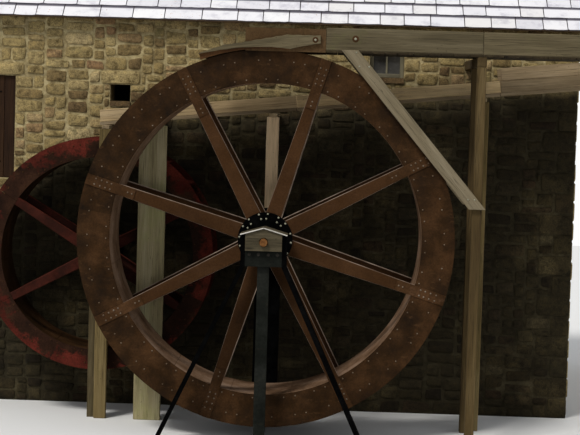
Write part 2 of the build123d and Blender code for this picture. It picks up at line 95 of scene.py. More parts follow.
def read_wheel(body, spokes, buckets, phase, root, tip):
    low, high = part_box(f"{body}_shrouds")
    sole_low, sole_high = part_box(f"{body}_sole")
    inner = (sole_high.x - sole_low.x) / 2 - SOLE_PLATE
    return Wheel(body, (low.x + high.x) / 2, (low.z + high.z) / 2, low.y, high.y, (high.x - low.x) / 2,
                 inner, spokes, buckets, phase, root, tip)


big = read_wheel("big_wheel", 8, 32, 27.8, 0.195, 0.130)
red = read_wheel("red_wheel", 6, 24, 28.3, 0.140, 0.105)
print("big wheel radius", round(big.radius, 3), "red wheel radius", round(red.radius, 3))

# %% [markdown]
# ## Camera
#
# The picture was taken from far off with a long lens, a little above the big wheel's axle. We could
# aim by eye, but a position, three turns and one focal length say it exactly.

# %% Camera
CAMERA_FROM_HUB = Vector((0.9, -22.4, 1.70))
TURN_LEFT, TILT_DOWN, ROLL = radians(1.55), radians(3.63), radians(1.7)
FOCAL_PIXELS, IMAGE_WIDTH, SENSOR = 1850, 580, 36

camera_data = bpy.data.cameras.new("view")
camera_data.sensor_width = SENSOR
camera_data.lens = SENSOR * FOCAL_PIXELS / IMAGE_WIDTH
camera_data.clip_end = 200
camera = bpy.data.objects.new("view", camera_data)
bpy.context.scene.collection.objects.link(camera)
hub = Vector((big.x, big.front, big.z))
turn = Matrix.Rotation(TURN_LEFT, 4, "Z") @ Matrix.Rotation(pi / 2 - TILT_DOWN, 4, "X")
camera.matrix_world = Matrix.Translation(hub + CAMERA_FROM_HUB) @ turn @ Matrix.Rotation(ROLL, 4, "Z")
bpy.context.scene.camera = camera
print("lens", round(camera_data.lens, 1), "mm")

# %% [markdown]
# ## Floor, sun and sky
#
# A plain pale floor and soft light show a finish as it is written. One broad sun from the upper
# left gives the stones some shape, and a pale world fills the shade. The camera sees that world as
# plain white, and so do reflections.

# %% Stage
FLOOR_SIZE, FLOOR_COLOUR, FLOOR_ROUGHNESS = 60, (0.78, 0.78, 0.77, 1), 0.95
SUN_STRENGTH, SUN_WIDTH, SUN_COLOUR = 2.1, radians(14), (1.0, 0.97, 0.92)
SUN_HEIGHT, SUN_SIDE = 50, 35
SKY_STRENGTH, SKY_COLOUR = 0.54, (0.93, 0.96, 1.0, 1)

floor_mesh = bpy.data.meshes.new("studio_floor")
edge = FLOOR_SIZE / 2
floor_corners = [(-edge, -edge, 0), (edge, -edge, 0), (edge, edge, 0), (-edge, edge, 0)]
floor_mesh.from_pydata(floor_corners, [], [(0, 1, 2, 3)])
floor = bpy.data.objects.new("studio_floor", floor_mesh)
bpy.context.scene.collection.objects.link(floor)
floor_finish = bpy.data.materials.new("studio_floor")
floor_finish.use_nodes = True
floor_shader = floor_finish.node_tree.nodes["Principled BSDF"]
floor_shader.inputs["Base Color"].default_value = FLOOR_COLOUR
floor_shader.inputs["Roughness"].default_value = FLOOR_ROUGHNESS
floor_mesh.materials.append(floor_finish)

sun = bpy.data.objects.new("sun", bpy.data.lights.new("sun", "SUN"))
sun.data.energy = SUN_STRENGTH
sun.data.angle = SUN_WIDTH
sun.data.color = SUN_COLOUR
sun.rotation_euler = (radians(90 - SUN_HEIGHT), 0, radians(-SUN_SIDE))
bpy.context.scene.collection.objects.link(sun)

world = bpy.data.worlds.new("studio")
world.use_nodes = True
bpy.context.scene.world = world
tree = world.node_tree
rays = tree.nodes.new("ShaderNodeLightPath")
seen = rays.outputs["Is Camera Ray"]
for kind in ("Is Glossy Ray", "Is Transmission Ray"):
    either = tree.nodes.new("ShaderNodeMath")
    either.operation = "MAXIMUM"
    tree.links.new(seen, either.inputs[0])
    tree.links.new(rays.outputs[kind], either.inputs[1])
    seen = either.outputs[0]
sky = tree.nodes["Background"]
sky.inputs["Color"].default_value = SKY_COLOUR
sky.inputs["Strength"].default_value = SKY_STRENGTH
white = tree.nodes.new("ShaderNodeBackground")
white.inputs["Color"].default_value = (1, 1, 1, 1)
blend = tree.nodes.new("ShaderNodeMixShader")
for index, source in enumerate((seen, sky.outputs[0], white.outputs[0])):
    tree.links.new(source, blend.inputs[index])
tree.links.new(blend.outputs[0], tree.nodes["World Output"].inputs["Surface"])
bpy.context.scene.view_settings.view_transform = "Standard"
print("sun", SUN_STRENGTH, "sky", SKY_STRENGTH)

# %% [markdown]
# ## A pile of small pieces
#
# A wall has hundreds of stones and a launder dozens of boards. Separate objects would be slow, and
# one texture would look printed on. So each kind is gathered into one mesh, where every stone or
# board keeps two notes: a random tone, and its own grain coordinates that run along its length.

# %% Pile
chance = random.Random(1847)


class Pile:
    """Many small closed pieces that become one mesh, each with its own tone and grain."""

    def __init__(self):
        self.points, self.faces, self.tones, self.grain = [], [], [], []
        self.count = 0

    def add(self, points, faces, tone=None, grain=None):
        """One more piece; its tone is one number, or a list with one for each point."""
        tone = chance.random() if tone is None else tone
        start = len(self.points)
        self.points.extend(tuple(p) for p in points)
        self.faces.extend(tuple(start + i for i in face) for face in faces)
        self.tones.extend(tone if isinstance(tone, list) else [tone] * len(points))
        self.grain.extend(tuple(g) for g in (grain or points))
        self.count += 1

    def piece(self, name, finish, slot, body="mill", stands_for=(), smooth=False):
        """Turn the pile into one object that rides on a body."""
        mesh = bpy.data.meshes.new(name)
        mesh.from_pydata(self.points, [], self.faces)
        mesh.attributes.new("tone", "FLOAT", "POINT").data.foreach_set("value", self.tones)
        flat = [v for g in self.grain for v in g]
        mesh.attributes.new("grain", "FLOAT_VECTOR", "POINT").data.foreach_set("vector", flat)
        mesh.materials.append(finish)
        if smooth:
            mesh.shade_smooth()
            mesh.set_sharp_from_angle(angle=radians(48))
        made = bpy.data.objects.new(name, mesh)
        bpy.context.scene.collection.objects.link(made)
        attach(made, body)
        if stands_for:
            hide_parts(*stands_for)
        print(name, "pieces", self.count, "faces", len(self.faces))
        return made


def rings_to_faces(rings, size, closed=True):
    """Faces between neighbouring rings of points, with both ends closed."""
    faces = []
    for r in range(rings - 1):
        for k in range(size):
            nxt = (k + 1) % size
            faces.append((r * size + k, r * size + nxt, (r + 1) * size + nxt, (r + 1) * size + k))
    if closed:
        faces.append(tuple(range(size - 1, -1, -1)))
        faces.append(tuple(range((rings - 1) * size, rings * size)))
    return faces


# %% [markdown]
# ## Sawn timber
#
# Every post, board and bearer is a sawn timber with worn corners that is never quite straight. A
# box with a bevel would do for one, but not for hundreds with their own wander. So a beam is rings
# of eight points, a square with its corners cut, strung from end to end and nudged inwards.

# %% Beam
GRAIN_SPREAD = (40, 9, 9)


def grain_shift():
    """A random place in the grain, so that no two timbers share a pattern."""
    return Vector([chance.uniform(0, spread) for spread in GRAIN_SPREAD])


def beam(pile, start, end, across, width, depth, tone=None, chamfer=0.004, wander=0.002, step=0.45):
    """A timber from start to end, `width` along `across` and `depth` the other way."""
    start, end = Vector(start), Vector(end)
    length = (end - start).length
    along = (end - start).normalized()
    side = (Vector(across) - along * along.dot(Vector(across))).normalized()
    up = along.cross(side)
    w, d, c = width / 2, depth / 2, min(chamfer, width / 4, depth / 4)
    section = [(-w + c, -d), (w - c, -d), (w, -d + c), (w, d - c),
               (w - c, d), (-w + c, d), (-w, d - c), (-w, -d + c)]
    spans = max(1, int(length / step))
    inner = [(length * k / spans, 0) for k in range(1, spans)]
    stops = [(0, c), (c, 0)] + inner + [(length - c, 0), (length, c)]
    shift = grain_shift()
    points, grain = [], []
    for at, shrink in stops:
        for a, b in section:
            a -= (shrink + chance.uniform(0, wander)) * (1 if a > 0 else -1)
            b -= (shrink + chance.uniform(0, wander)) * (1 if b > 0 else -1)
            points.append(start + along * at + side * a + up * b)
            grain.append(Vector((at, a, b)) + shift)
    pile.add(points, rings_to_faces(len(stops), len(section)), tone, grain)


def block_of(pile, low, high, along="X", **settings):
    """A beam that fills the box between two corners, its grain along the named axis."""
    low, high = Vector(low), Vector(high)
    middle, size = (low + high) / 2, high - low
    i = "XYZ".index(along)
    j, k = [n for n in range(3) if n != i]
    start, end, across = middle.copy(), middle.copy(), Vector((0, 0, 0))
    start[i], end[i], across[j] = low[i], high[i], 1
    beam(pile, start, end, across, size[j], size[k], **settings)


# %% [markdown]
# ## Shaped boards
#
# A brace with sloping ends or a board with a hole isn't a beam. It is an outline given a thickness.
# Its rim is pulled in a little on both faces, so that the edge catches light as a worn one does.

# %% Slab


def pulled_in(outline, distance):
    """The outline moved inwards; it runs anticlockwise, or clockwise round a hole."""
    result = []
    for k, (x, y) in enumerate(outline):
        before, after = outline[k - 1], outline[(k + 1) % len(outline)]
        a = Vector((x - before[0], y - before[1])).normalized()
        b = Vector((after[0] - x, after[1] - y)).normalized()
        bend = (a + b).normalized()
        normal = Vector((-bend.y, bend.x))
        stretch = max(0.5, sqrt(max(0.0, (1 + a.dot(b)) / 2)))
        result.append((x + normal.x * distance / stretch, y + normal.y * distance / stretch))
    return result


def slab(pile, outline, origin, thickness, holes=(), tone=None, chamfer=0.003, turn=0.0, right=(1, 0, 0)):
    """An upright board: its outline is drawn to the right and up, and its thickness lies behind it."""
    origin, right, up = Vector(origin), Vector(right), Vector((0, 0, 1))
    back = up.cross(right)
    shift = grain_shift()
    loops = [outline] + [list(hole) for hole in holes]
    points, grain, starts = [], [], []
    for loop in loops:
        starts.append(len(points))
        inner = pulled_in(loop, chamfer)
        for ring, depth in ((inner, 0), (loop, chamfer), (loop, thickness - chamfer), (inner, thickness)):
            for x, y in ring:
                points.append(origin + right * x + up * y + back * depth)
                gx, gy = x * cos(turn) + y * sin(turn), y * cos(turn) - x * sin(turn)
                grain.append(Vector((gx, gy, depth)) + shift)
    faces = []
    for loop, start in zip(loops, starts):
        size = len(loop)
        faces += [tuple(start + i for i in reversed(face)) for face in rings_to_faces(4, size, closed=False)]
    flat = [[Vector((*p, 0)) for p in pulled_in(loop, chamfer)] for loop in loops]
    index = [start + k for loop, start in zip(loops, starts) for k in range(len(loop))]
    sizes = [len(loop) for loop in loops for k in loop]
    for a, b, c in tessellate_polygon(flat):
        corner = [index[a], index[b], index[c]]
        deep = [index[n] + 3 * sizes[n] for n in (a, b, c)]
        p, q, r = (points[n] for n in corner)
        if (q - p).cross(r - p).dot(back) > 0:
            corner.reverse()
        else:
            deep.reverse()
        faces += [tuple(corner), tuple(deep)]
    pile.add(points, faces, tone, grain)


def round_hole(radius, sides=28):
    """A circle that runs clockwise, as the outline of a hole does."""
    turns = [-2 * pi * k / sides for k in range(sides)]
    return [(radius * cos(turn), radius * sin(turn)) for turn in turns]


# %% [markdown]
# ## Bolts
#
# Bolts hold the plates of both wheels and the timbers. From the camera they are only dots, but the
# dots catch light because each has a domed or six-sided head. A ring of points at three heights
# makes either one with few faces.

# %% Bolt
WASHER_THICK, HEAD_SUNK = 0.003, 0.001


def bolt(pile, centre, normal, radius=0.012, height=0.009, sides=8, washer=0.0):
    """A bolt head standing on a face, on a washer if it is given a radius."""
    centre, normal = Vector(centre), Vector(normal).normalized()
    side = normal.orthogonal().normalized()
    other = normal.cross(side)
    spin = chance.uniform(0, 2 * pi)
    rings = [(radius, 0.0), (radius, height * 0.55), (radius * 0.6, height)]
    if washer:
        rings = [(washer, 0.0), (washer, WASHER_THICK)] + [(r, h + WASHER_THICK) for r, h in rings]
    points = []
    for r, h in rings:
        for k in range(sides):
            a = spin + 2 * pi * k / sides
            points.append(centre + normal * (h - HEAD_SUNK) + side * (r * cos(a)) + other * (r * sin(a)))
    pile.add(points, rings_to_faces(len(rings), sides))


# %% [markdown]
# ## Building a finish
#
# A finish is a small graph of nodes. Written out in full it is long and hard to read, so this
# helper adds one node a call and gives back its output. Numbers that are the same all over are set
# on the shader itself. Stone, rust and old timber are dull, so their mirror share is kept low: with
# the usual one, a white surrounding would lie over every dark colour like milk.

# %% Finish helper
PLATE_TURN = 7.2


class Finish:
    """A material under construction: each method adds a node and returns its output."""

    def __init__(self, name, roughness=0.85, specular=0.15):
        self.material = bpy.data.materials.new(name)
        self.material.use_nodes = True
        self.tree = self.material.node_tree
        self.shader = self.tree.nodes["Principled BSDF"]
        self.shader.inputs["Roughness"].default_value = roughness
        self.shader.inputs["Specular IOR Level"].default_value = specular

    def node(self, kind, inputs=(), **settings):
        made = self.tree.nodes.new("ShaderNode" + kind)
        for key, value in settings.items():
            setattr(made, key, value)
        for key, value in dict(inputs).items():
            if isinstance(value, bpy.types.NodeSocket):
                self.tree.links.new(value, made.inputs[key])
            else:
                made.inputs[key].default_value = value
        return made

    def place(self):
        return self.node("TexCoord").outputs["Object"]

    def note(self, name, output="Fac"):
        return self.node("Attribute", attribute_name=name).outputs[output]

    def stretch(self, place, scale):
        return self.node("Mapping", {"Vector": place, "Scale": scale}).outputs[0]

    def noise(self, place, scale, detail=5.0, rough=0.55, distortion=0.0):
        settings = {"Vector": place, "Scale": scale, "Detail": detail, "Roughness": rough,
                    "Distortion": distortion}
        return self.node("TexNoise", settings).outputs[0]

    def cells(self, place, scale):
        return self.node("TexVoronoi", {"Vector": place, "Scale": scale}).outputs["Distance"]

    def ramp(self, value, *stops):
        made = self.node("ValToRGB", {0: value})
        elements = made.color_ramp.elements
        while len(elements) < len(stops):
            elements.new(0.5)
        for element, (at, colour) in zip(elements, stops):
            element.position = at
            element.color = (*colour, 1) if isinstance(colour, tuple) else (colour, colour, colour, 1)
        return made.outputs[0]

    def mix(self, amount, one, two, how="MIX"):
        made = self.node("Mix", data_type="RGBA", blend_type=how)
        for index, value in ((0, amount), (6, one), (7, two)):
            if isinstance(value, bpy.types.NodeSocket):
                self.tree.links.new(value, made.inputs[index])
            else:
                made.inputs[index].default_value = (*value, 1) if isinstance(value, tuple) else value
        return made.outputs[2]

    def maths(self, how, one, two=0.0, clamp=False):
        return self.node("Math", {0: one, 1: two}, operation=how, use_clamp=clamp).outputs[0]

    def between(self, value, start, end):
        """0 up to the start, rising to 1 at the end, which may be lower than the start."""
        return self.node("MapRange", {"Value": value, "From Min": start, "From Max": end}).outputs[0]

    def axis(self, place, letter):
        return self.node("SeparateXYZ", {0: place}).outputs["XYZ".index(letter)]

    def from_axle(self, place, axle):
        """The way from an axle to each place, with nothing along the axle; axle is its x and z."""
        flat = self.node("VectorMath", {0: place, 1: (1, 0, 1)}, operation="MULTIPLY").outputs[0]
        centre = (axle[0], 0, axle[1])
        return self.node("VectorMath", {0: flat, 1: centre}, operation="SUBTRACT").outputs[0]

    def distance(self, place, axle):
        away = self.from_axle(place, axle)
        return self.node("VectorMath", {0: away}, operation="LENGTH").outputs["Value"]

    def plate_number(self, place, axle, count):
        """For plates bolted round an axle: a random number that stays the same all over a plate."""
        away = self.from_axle(place, axle)
        angle = self.maths("ARCTAN2", self.axis(away, "Z"), self.axis(away, "X"))
        turned = self.maths("MULTIPLY", self.maths("ADD", angle, PLATE_TURN), count / (2 * pi))
        sector = self.maths("FLOOR", turned)
        return self.node("TexWhiteNoise", {"W": sector}, noise_dimensions="1D").outputs["Value"]

    def done(self, colour, bumps=(), roughness=None):
        """Finish the shader: colour, a chain of (height, strength, distance) bumps, and gloss."""
        self.tree.links.new(colour, self.shader.inputs["Base Color"])
        normal = None
        for height, strength, distance in bumps:
            settings = {"Height": height, "Strength": strength, "Distance": distance}
            if normal is not None:
                settings["Normal"] = normal
            normal = self.node("Bump", settings).outputs[0]
        if normal is not None:
            self.tree.links.new(normal, self.shader.inputs["Normal"])
        if roughness is not None:
            self.tree.links.new(roughness, self.shader.inputs["Roughness"])
        return self.material


# %% [markdown]
# ## Stone finishes
#
# The walls are buff and brown sandstone, each stone with its own tone, in pale crumbly mortar.
# The front wall is dark behind the wheels, with damp and algae and with painted shade, so the finish
# is made twice. In one the darkening reaches up the outer face, and in the other it stays near the ground.

# %% Sandstone and mortar
# The front level and the spray numbers darken the front wall for damp and for painted shade; the ring numbers
# paint the shadow of the red wheel's drum.
FRONT_DAMP_AND_SHADE, GROUND_DAMP = 3.40, 0.5
DAMP_AND_SHADE_EDGE, DAMP_AND_SHADE_STRENGTH, DAMP_AND_SHADE_COLOUR = 0.55, 0.93, (0.004, 0.0035, 0.002)
RAGGED_SCALE, RAGGED_SHARE, RAGGED_MIDDLE = 1.3, 0.8, 0.40
SPRAY_AND_SHADE_FROM, SPRAY_AND_SHADE_TO, SPRAY_AND_SHADE_RISE, LAUNDER_RISE = -2.9, -2.0, 1.05, 0.1
SPRAY_AND_SHADE_ENDS_IN, SPRAY_AND_SHADE_FULL_IN = 0.09, 0.01
RING_SHADOW_EDGE, RING_SHADOW_FULL = 1.50, 1.25


def damp_and_shade(f, place, colour, top, spray_and_shade):
    """Darken a colour below a ragged level.

    Spray damp and painted shade lift the level on the front wall's outer face, more behind the big
    wheel, and the painted shadow of the red wheel's drum fills its ring. That wall's ends show beside
    the gables, and there the level is not lifted.
    """
    height = f.axis(place, "Z")
    # painted shade with damp: the front face's level is lifted behind the big wheel and along the lower
    # launder
    if spray_and_shade:
        x, front = f.axis(place, "X"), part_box("front_wall")[0].y
        facing = f.between(f.axis(place, "Y"), front + SPRAY_AND_SHADE_ENDS_IN, front + SPRAY_AND_SHADE_FULL_IN)
        lift = f.maths("MULTIPLY", f.between(x, SPRAY_AND_SHADE_FROM, SPRAY_AND_SHADE_TO), SPRAY_AND_SHADE_RISE)
        lift = f.maths("ADD", lift, f.maths("MULTIPLY", x, LAUNDER_RISE))
        lift = f.maths("ADD", lift, top - GROUND_DAMP)
        height = f.maths("SUBTRACT", height, f.maths("MULTIPLY", lift, facing))
        top = GROUND_DAMP
    share = f.between(height, top, top - DAMP_AND_SHADE_EDGE)
    if spray_and_shade:
        # painted shadow of the red wheel's drum on the wall inside its ring
        ring = f.between(f.distance(place, (red.x, red.z)), RING_SHADOW_EDGE, RING_SHADOW_FULL)
        share = f.maths("MAXIMUM", share, ring)
    ragged = f.maths("MULTIPLY", f.noise(place, RAGGED_SCALE, 6), RAGGED_SHARE)
    darkening = f.maths("SUBTRACT", f.maths("ADD", share, ragged), RAGGED_MIDDLE, clamp=True)
    return f.mix(f.maths("MULTIPLY", darkening, DAMP_AND_SHADE_STRENGTH), colour, DAMP_AND_SHADE_COLOUR)


def lime_mortar(f, place):
    """Colour and crumbs of lime mortar: dirty in its hollows and in patches, pale where it stands out."""
    crumbs = f.noise(place, 14.0, 8, 0.7)
    lime = f.ramp(
        crumbs, (0.30, (0.18, 0.132, 0.060)), (0.48, (0.38, 0.302, 0.148)), (0.68, (0.56, 0.465, 0.260)))
    dirt = f.ramp(f.noise(place, 3.6, 7, 0.7), (0.36, (0.48, 0.45, 0.42)), (0.56, (1.05, 1.05, 1.05)))
    return f.mix(1.0, lime, dirt, "MULTIPLY"), crumbs


def sandstone(name, damp_and_shade_top, smeared=True, spray_and_shade=False):
    """Stone with its own tone; where it is smeared, mortar creeps over the rim of each stone."""
    f = Finish(name, roughness=0.92)
    place = f.place()
    stones = f.ramp(
        f.note("tone"), (0.0, (0.130, 0.084, 0.040)), (0.18, (0.240, 0.172, 0.073)),
        (0.38, (0.340, 0.258, 0.112)), (0.55, (0.262, 0.194, 0.084)), (0.74, (0.415, 0.318, 0.146)),
        (0.90, (0.240, 0.140, 0.070)), (1.0, (0.480, 0.380, 0.190)))
    mottle = f.noise(place, 11.0, 9, 0.70)
    patches = f.ramp(mottle, (0.34, (0.36, 0.33, 0.28)), (0.50, (1.0, 1.0, 1.0)), (0.70, (1.40, 1.34, 1.18)))
    colour = f.mix(1.0, stones, patches, "MULTIPLY")
    grit = f.ramp(f.noise(place, 62.0, 4, 0.7), (0.37, 0.45), (0.63, 1.30))
    colour = f.mix(0.8, colour, f.mix(1.0, colour, grit, "MULTIPLY"))
    lichen = f.ramp(f.noise(place, 2.6, 7, 0.7), (0.60, 0.0), (0.70, 0.50))
    colour = f.mix(lichen, colour, (0.150, 0.140, 0.060))
    if smeared:
        inside = f.maths("MULTIPLY", f.axis(f.note("grain", "Vector"), "Z"), 0.30)
        smear = f.between(f.maths("SUBTRACT", f.noise(place, 21.0, 6, 0.7), inside), 0.46, 0.52)
        colour = f.mix(smear, colour, lime_mortar(f, place)[0])
    colour = damp_and_shade(f, place, colour, damp_and_shade_top, spray_and_shade)
    return f.done(colour, [(mottle, 0.6, 0.02), (f.noise(place, 60.0, 6, 0.7), 0.8, 0.007)])


def mortar(name, damp_and_shade_top, spray_and_shade=False):
    f = Finish(name, roughness=0.96)
    place = f.place()
    lime, crumbs = lime_mortar(f, place)
    colour = damp_and_shade(f, place, lime, damp_and_shade_top, spray_and_shade)
    return f.done(colour, [(crumbs, 0.6, 0.02), (f.noise(place, 70.0, 6, 0.7), 0.7, 0.008)])


damp_shaded_stone = sandstone("sandstone_damp_and_shade", FRONT_DAMP_AND_SHADE, spray_and_shade=True)
dry_stone = sandstone("sandstone", GROUND_DAMP)
damp_shaded_mortar = mortar("mortar_damp_and_shade", FRONT_DAMP_AND_SHADE, spray_and_shade=True)
dry_mortar = mortar("mortar", GROUND_DAMP)

# %% [markdown]
# ## Slate finish
#
# The roof's stone slates are bleached nearly white by weather, with a lilac cast, grey stains and
# specks of orange lichen. Below each course's foot lies a dark band, partly dirt where the foot keeps
# the rain off and partly the painted shadow of that foot. Each slate's grain note says how far it is
# from that foot, so the dark lap line follows the real courses.

# %% Slate


def slate():
    f = Finish("roof_slate", roughness=0.8)
    place = f.place()
    base = f.ramp(
        f.note("tone"), (0.0, (0.70, 0.69, 0.73)), (0.3, (0.79, 0.78, 0.82)), (0.7, (0.84, 0.83, 0.86)),
        (0.9, (0.77, 0.75, 0.75)), (1.0, (0.87, 0.86, 0.88)))
    stain = f.ramp(
        f.noise(place, 5.5, 8, 0.65), (0.25, (0.66, 0.65, 0.70)), (0.48, (1.0, 1.0, 1.0)),
        (0.8, (1.08, 1.07, 1.06)))
    colour = f.mix(1.0, base, stain, "MULTIPLY")
    speck = f.ramp(f.noise(place, 34.0, 4, 0.6), (0.64, 0.0), (0.70, 0.85))
    patch = f.ramp(f.noise(place, 2.2, 3), (0.5, 0.0), (0.62, 1.0))
    colour = f.mix(f.maths("MULTIPLY", speck, patch), colour, (0.42, 0.20, 0.05))
    # dark lap band below each course's foot: partly dirt, partly painted shadow
    lap_dirt_and_shadow = f.between(f.axis(f.note("grain", "Vector"), "Y"), -0.052, -0.026)
    colour = f.mix(f.maths("MULTIPLY", lap_dirt_and_shadow, 0.93), colour, (0.060, 0.052, 0.075))
    layers = f.noise(f.stretch(place, (1.0, 1.0, 1.6)), 17.0, 8, 0.62)
    return f.done(colour, [(layers, 0.5, 0.008), (f.noise(place, 140.0, 3), 0.25, 0.002)])


slate_finish = slate()

# %% [markdown]
# ## Timber finishes
#
# Weathered softwood goes grey on top, stays tan where it was sheltered, and cracks along the grain.
# One function makes every timber from three colours and an amount of green. It follows each
# board's own grain note, so no two boards share a pattern. Nodes that are kept from the frame have
# no note, so for them the grain runs along an axis instead.

# %% Timber


def timber(name, dark, middle, pale, green=0.0, along=None):
    """Weathered wood in three colours, its grain along an axis or by each board's own note."""
    f = Finish(name, roughness=0.86)
    if along is None:
        place, tone = f.note("grain", "Vector"), f.note("tone")
    else:
        turned = {"X": (0, 0, 0), "Y": (0, 0, radians(90)), "Z": (0, radians(90), 0)}[along]
        place = f.node("Mapping", {"Vector": f.place(), "Rotation": turned}).outputs[0]
        tone = None
    rings = f.noise(f.stretch(place, (0.7, 8.0, 8.0)), 1.0, 7, 0.62, 0.5)
    fibre = f.noise(f.stretch(place, (3.5, 130.0, 130.0)), 1.0, 5, 0.6)
    crack = f.noise(f.stretch(place, (0.45, 26.0, 26.0)), 1.0, 3, 0.5)
    colour = f.ramp(rings, (0.22, dark), (0.50, middle), (0.76, pale))
    colour = f.mix(0.6, colour, f.mix(1.0, colour, f.ramp(fibre, (0.32, 0.62), (0.66, 1.25)), "MULTIPLY"))
    if tone is not None:
        own = f.ramp(tone, (0.0, (0.80, 0.79, 0.78)), (0.5, (1.0, 0.98, 0.95)), (1.0, (1.18, 1.16, 1.10)))
        colour = f.mix(1.0, colour, own, "MULTIPLY")
    knot = f.ramp(f.cells(f.stretch(place, (1.1, 5.0, 5.0)), 1.0), (0.04, 0.85), (0.11, 0.0))
    split = f.ramp(crack, (0.488, 0.0), (0.498, 0.65), (0.502, 0.65), (0.512, 0.0))
    pores = f.ramp(f.noise(place, 38.0, 3, 0.6), (0.66, 0.0), (0.72, 0.6))
    for spots, shade in ((knot, 0.35), (split, 0.30), (pores, 0.40)):
        colour = f.mix(spots, colour, tuple(c * shade for c in dark))
    if green:
        algae = f.ramp(f.noise(place, 1.9, 7, 0.7), (0.62 - 0.3 * green, 0.0), (0.80 - 0.2 * green, 0.65))
        colour = f.mix(algae, colour, (middle[0] * 0.85, middle[1] * 1.02, middle[2] * 0.65))
    groove = f.ramp(crack, (0.47, 1.0), (0.5, 0.0), (0.53, 1.0))
    return f.done(colour, [(groove, 0.4, 0.006), (fibre, 0.5, 0.002)])


weathered = timber(
    "launder_timber", (0.068, 0.054, 0.029), (0.114, 0.092, 0.052), (0.165, 0.136, 0.082), 0.12)
brace_wood = timber("brace_timber", (0.125, 0.099, 0.058), (0.192, 0.157, 0.098), (0.262, 0.220, 0.148))
sheltered = timber(
    "lower_launder_timber", (0.170, 0.121, 0.066), (0.275, 0.206, 0.122), (0.370, 0.288, 0.182))
# painted light: the lower launder's boards in shade behind the wheel are written much paler, for sunlight
painted_light_launder_wood = timber(
    "painted_light_launder_timber", (0.330, 0.235, 0.122), (0.470, 0.345, 0.188), (0.580, 0.445, 0.270))
trestle_wood = timber(
    "trestle_timber", (0.034, 0.021, 0.008), (0.066, 0.044, 0.017), (0.120, 0.086, 0.040), 0.06)
post_wood = timber("post_timber", (0.070, 0.048, 0.018), (0.132, 0.095, 0.038), (0.215, 0.165, 0.080), 0.15)
# painted light: the middle post is written pale, for sunlight where the wheel shades it
painted_light_post = timber("painted_light_post_timber", (0.480, 0.350, 0.210), (0.640, 0.475, 0.295), (0.740, 0.570, 0.375))
# painted light: the broad post is written pale, for sunlight where the wheel shades it; its green is moss
mossy_painted_light_post = timber(
    "mossy_painted_light_post_timber", (0.180, 0.150, 0.078), (0.350, 0.300, 0.168), (0.520, 0.465, 0.300), 0.50)
cover_wood = timber("cover_timber", (0.022, 0.018, 0.010), (0.060, 0.049, 0.029), (0.105, 0.087, 0.056))
eaves_wood = timber("eaves_timber", (0.200, 0.095, 0.030), (0.340, 0.180, 0.068), (0.450, 0.270, 0.125))
shutter_wood = timber("shutter_timber", (0.014, 0.006, 0.003), (0.037, 0.017, 0.007), (0.080, 0.042, 0.020))
roof_wood = timber("roof_timber", (0.028, 0.017, 0.009), (0.058, 0.036, 0.019), (0.100, 0.066, 0.038))
painted_wood = timber("window_paint", (0.110, 0.100, 0.066), (0.190, 0.174, 0.118), (0.270, 0.248, 0.175))

# %% [markdown]
# ## Metal finishes
#
# The big wheel is bare steel gone dark brown, a little redder where it is dry and paler where it
# has been rubbed. The other wheel was painted red once. Its paint has gone from the inner part of
# the rim and from some of its plates. Rust isn't metallic to the eye, so both are rough dull coats.

# %% Steel and paint
BIG_RIM_PLATES, RED_RIM_PLATES = 8, 12


def axle_of(name):
    """Where the axle is in a kept node's own coordinates, as x and z."""
    corners = [v.co for v in nodes[name].data.vertices]
    return [(min(c[i] for c in corners) + max(c[i] for c in corners)) / 2 for i in (0, 2)]


def own_shade(f, place, node, count, share):
    """A small number above or below nothing that differs from plate to plate."""
    number = f.plate_number(place, axle_of(node), count)
    return f.maths("MULTIPLY", f.maths("SUBTRACT", number, 0.5), share)


def speckled(f, place, colour):
    """The same colour, darker and paler in fine specks."""
    fine = f.ramp(f.noise(place, 46.0, 6, 0.7), (0.33, 0.62), (0.68, 1.30))
    return f.mix(1.0, colour, fine, "MULTIPLY")


def rusted(name, dark, middle, pale, rub, rub_amount=0.35, gloss=(0.55, 0.85), scale=1.0, lit_edge=None,
           shine=0.06, plated=None):
    """A dull coat in three browns with rubbed patches; the edge colour is a painted highlight on edges noted
    by tone.
    """
    f = Finish(name, specular=shine)
    place = f.place()
    broad = f.noise(place, 2.4 * scale, 8, 0.62)
    if plated:
        broad = f.maths("ADD", broad, own_shade(f, place, plated, BIG_RIM_PLATES, 0.10))
    colour = f.ramp(broad, (0.30, dark), (0.50, middle), (0.70, pale))
    colour = f.mix(0.8, colour, speckled(f, place, colour))
    rubbed = f.noise(f.stretch(place, (1, 1, 2.2)), 7.0 * scale, 7, 0.72)
    colour = f.mix(f.ramp(rubbed, (0.58, 0.0), (0.68, rub_amount)), colour, rub)
    # painted highlight: edges that the tone marks are paled where light would catch them
    if lit_edge:
        edge = f.maths("MULTIPLY", f.note("tone"), f.ramp(f.noise(place, 5.0, 5), (0.30, 0.25), (0.60, 1.0)))
        colour = f.mix(edge, colour, lit_edge)
    pits = f.noise(place, 120.0, 4, 0.65)
    rough = f.ramp(f.noise(place, 6.0, 5), (0.3, gloss[0]), (0.7, gloss[1]))
    return f.done(colour, [(broad, 0.12, 0.01), (pits, 0.28, 0.002)], rough)


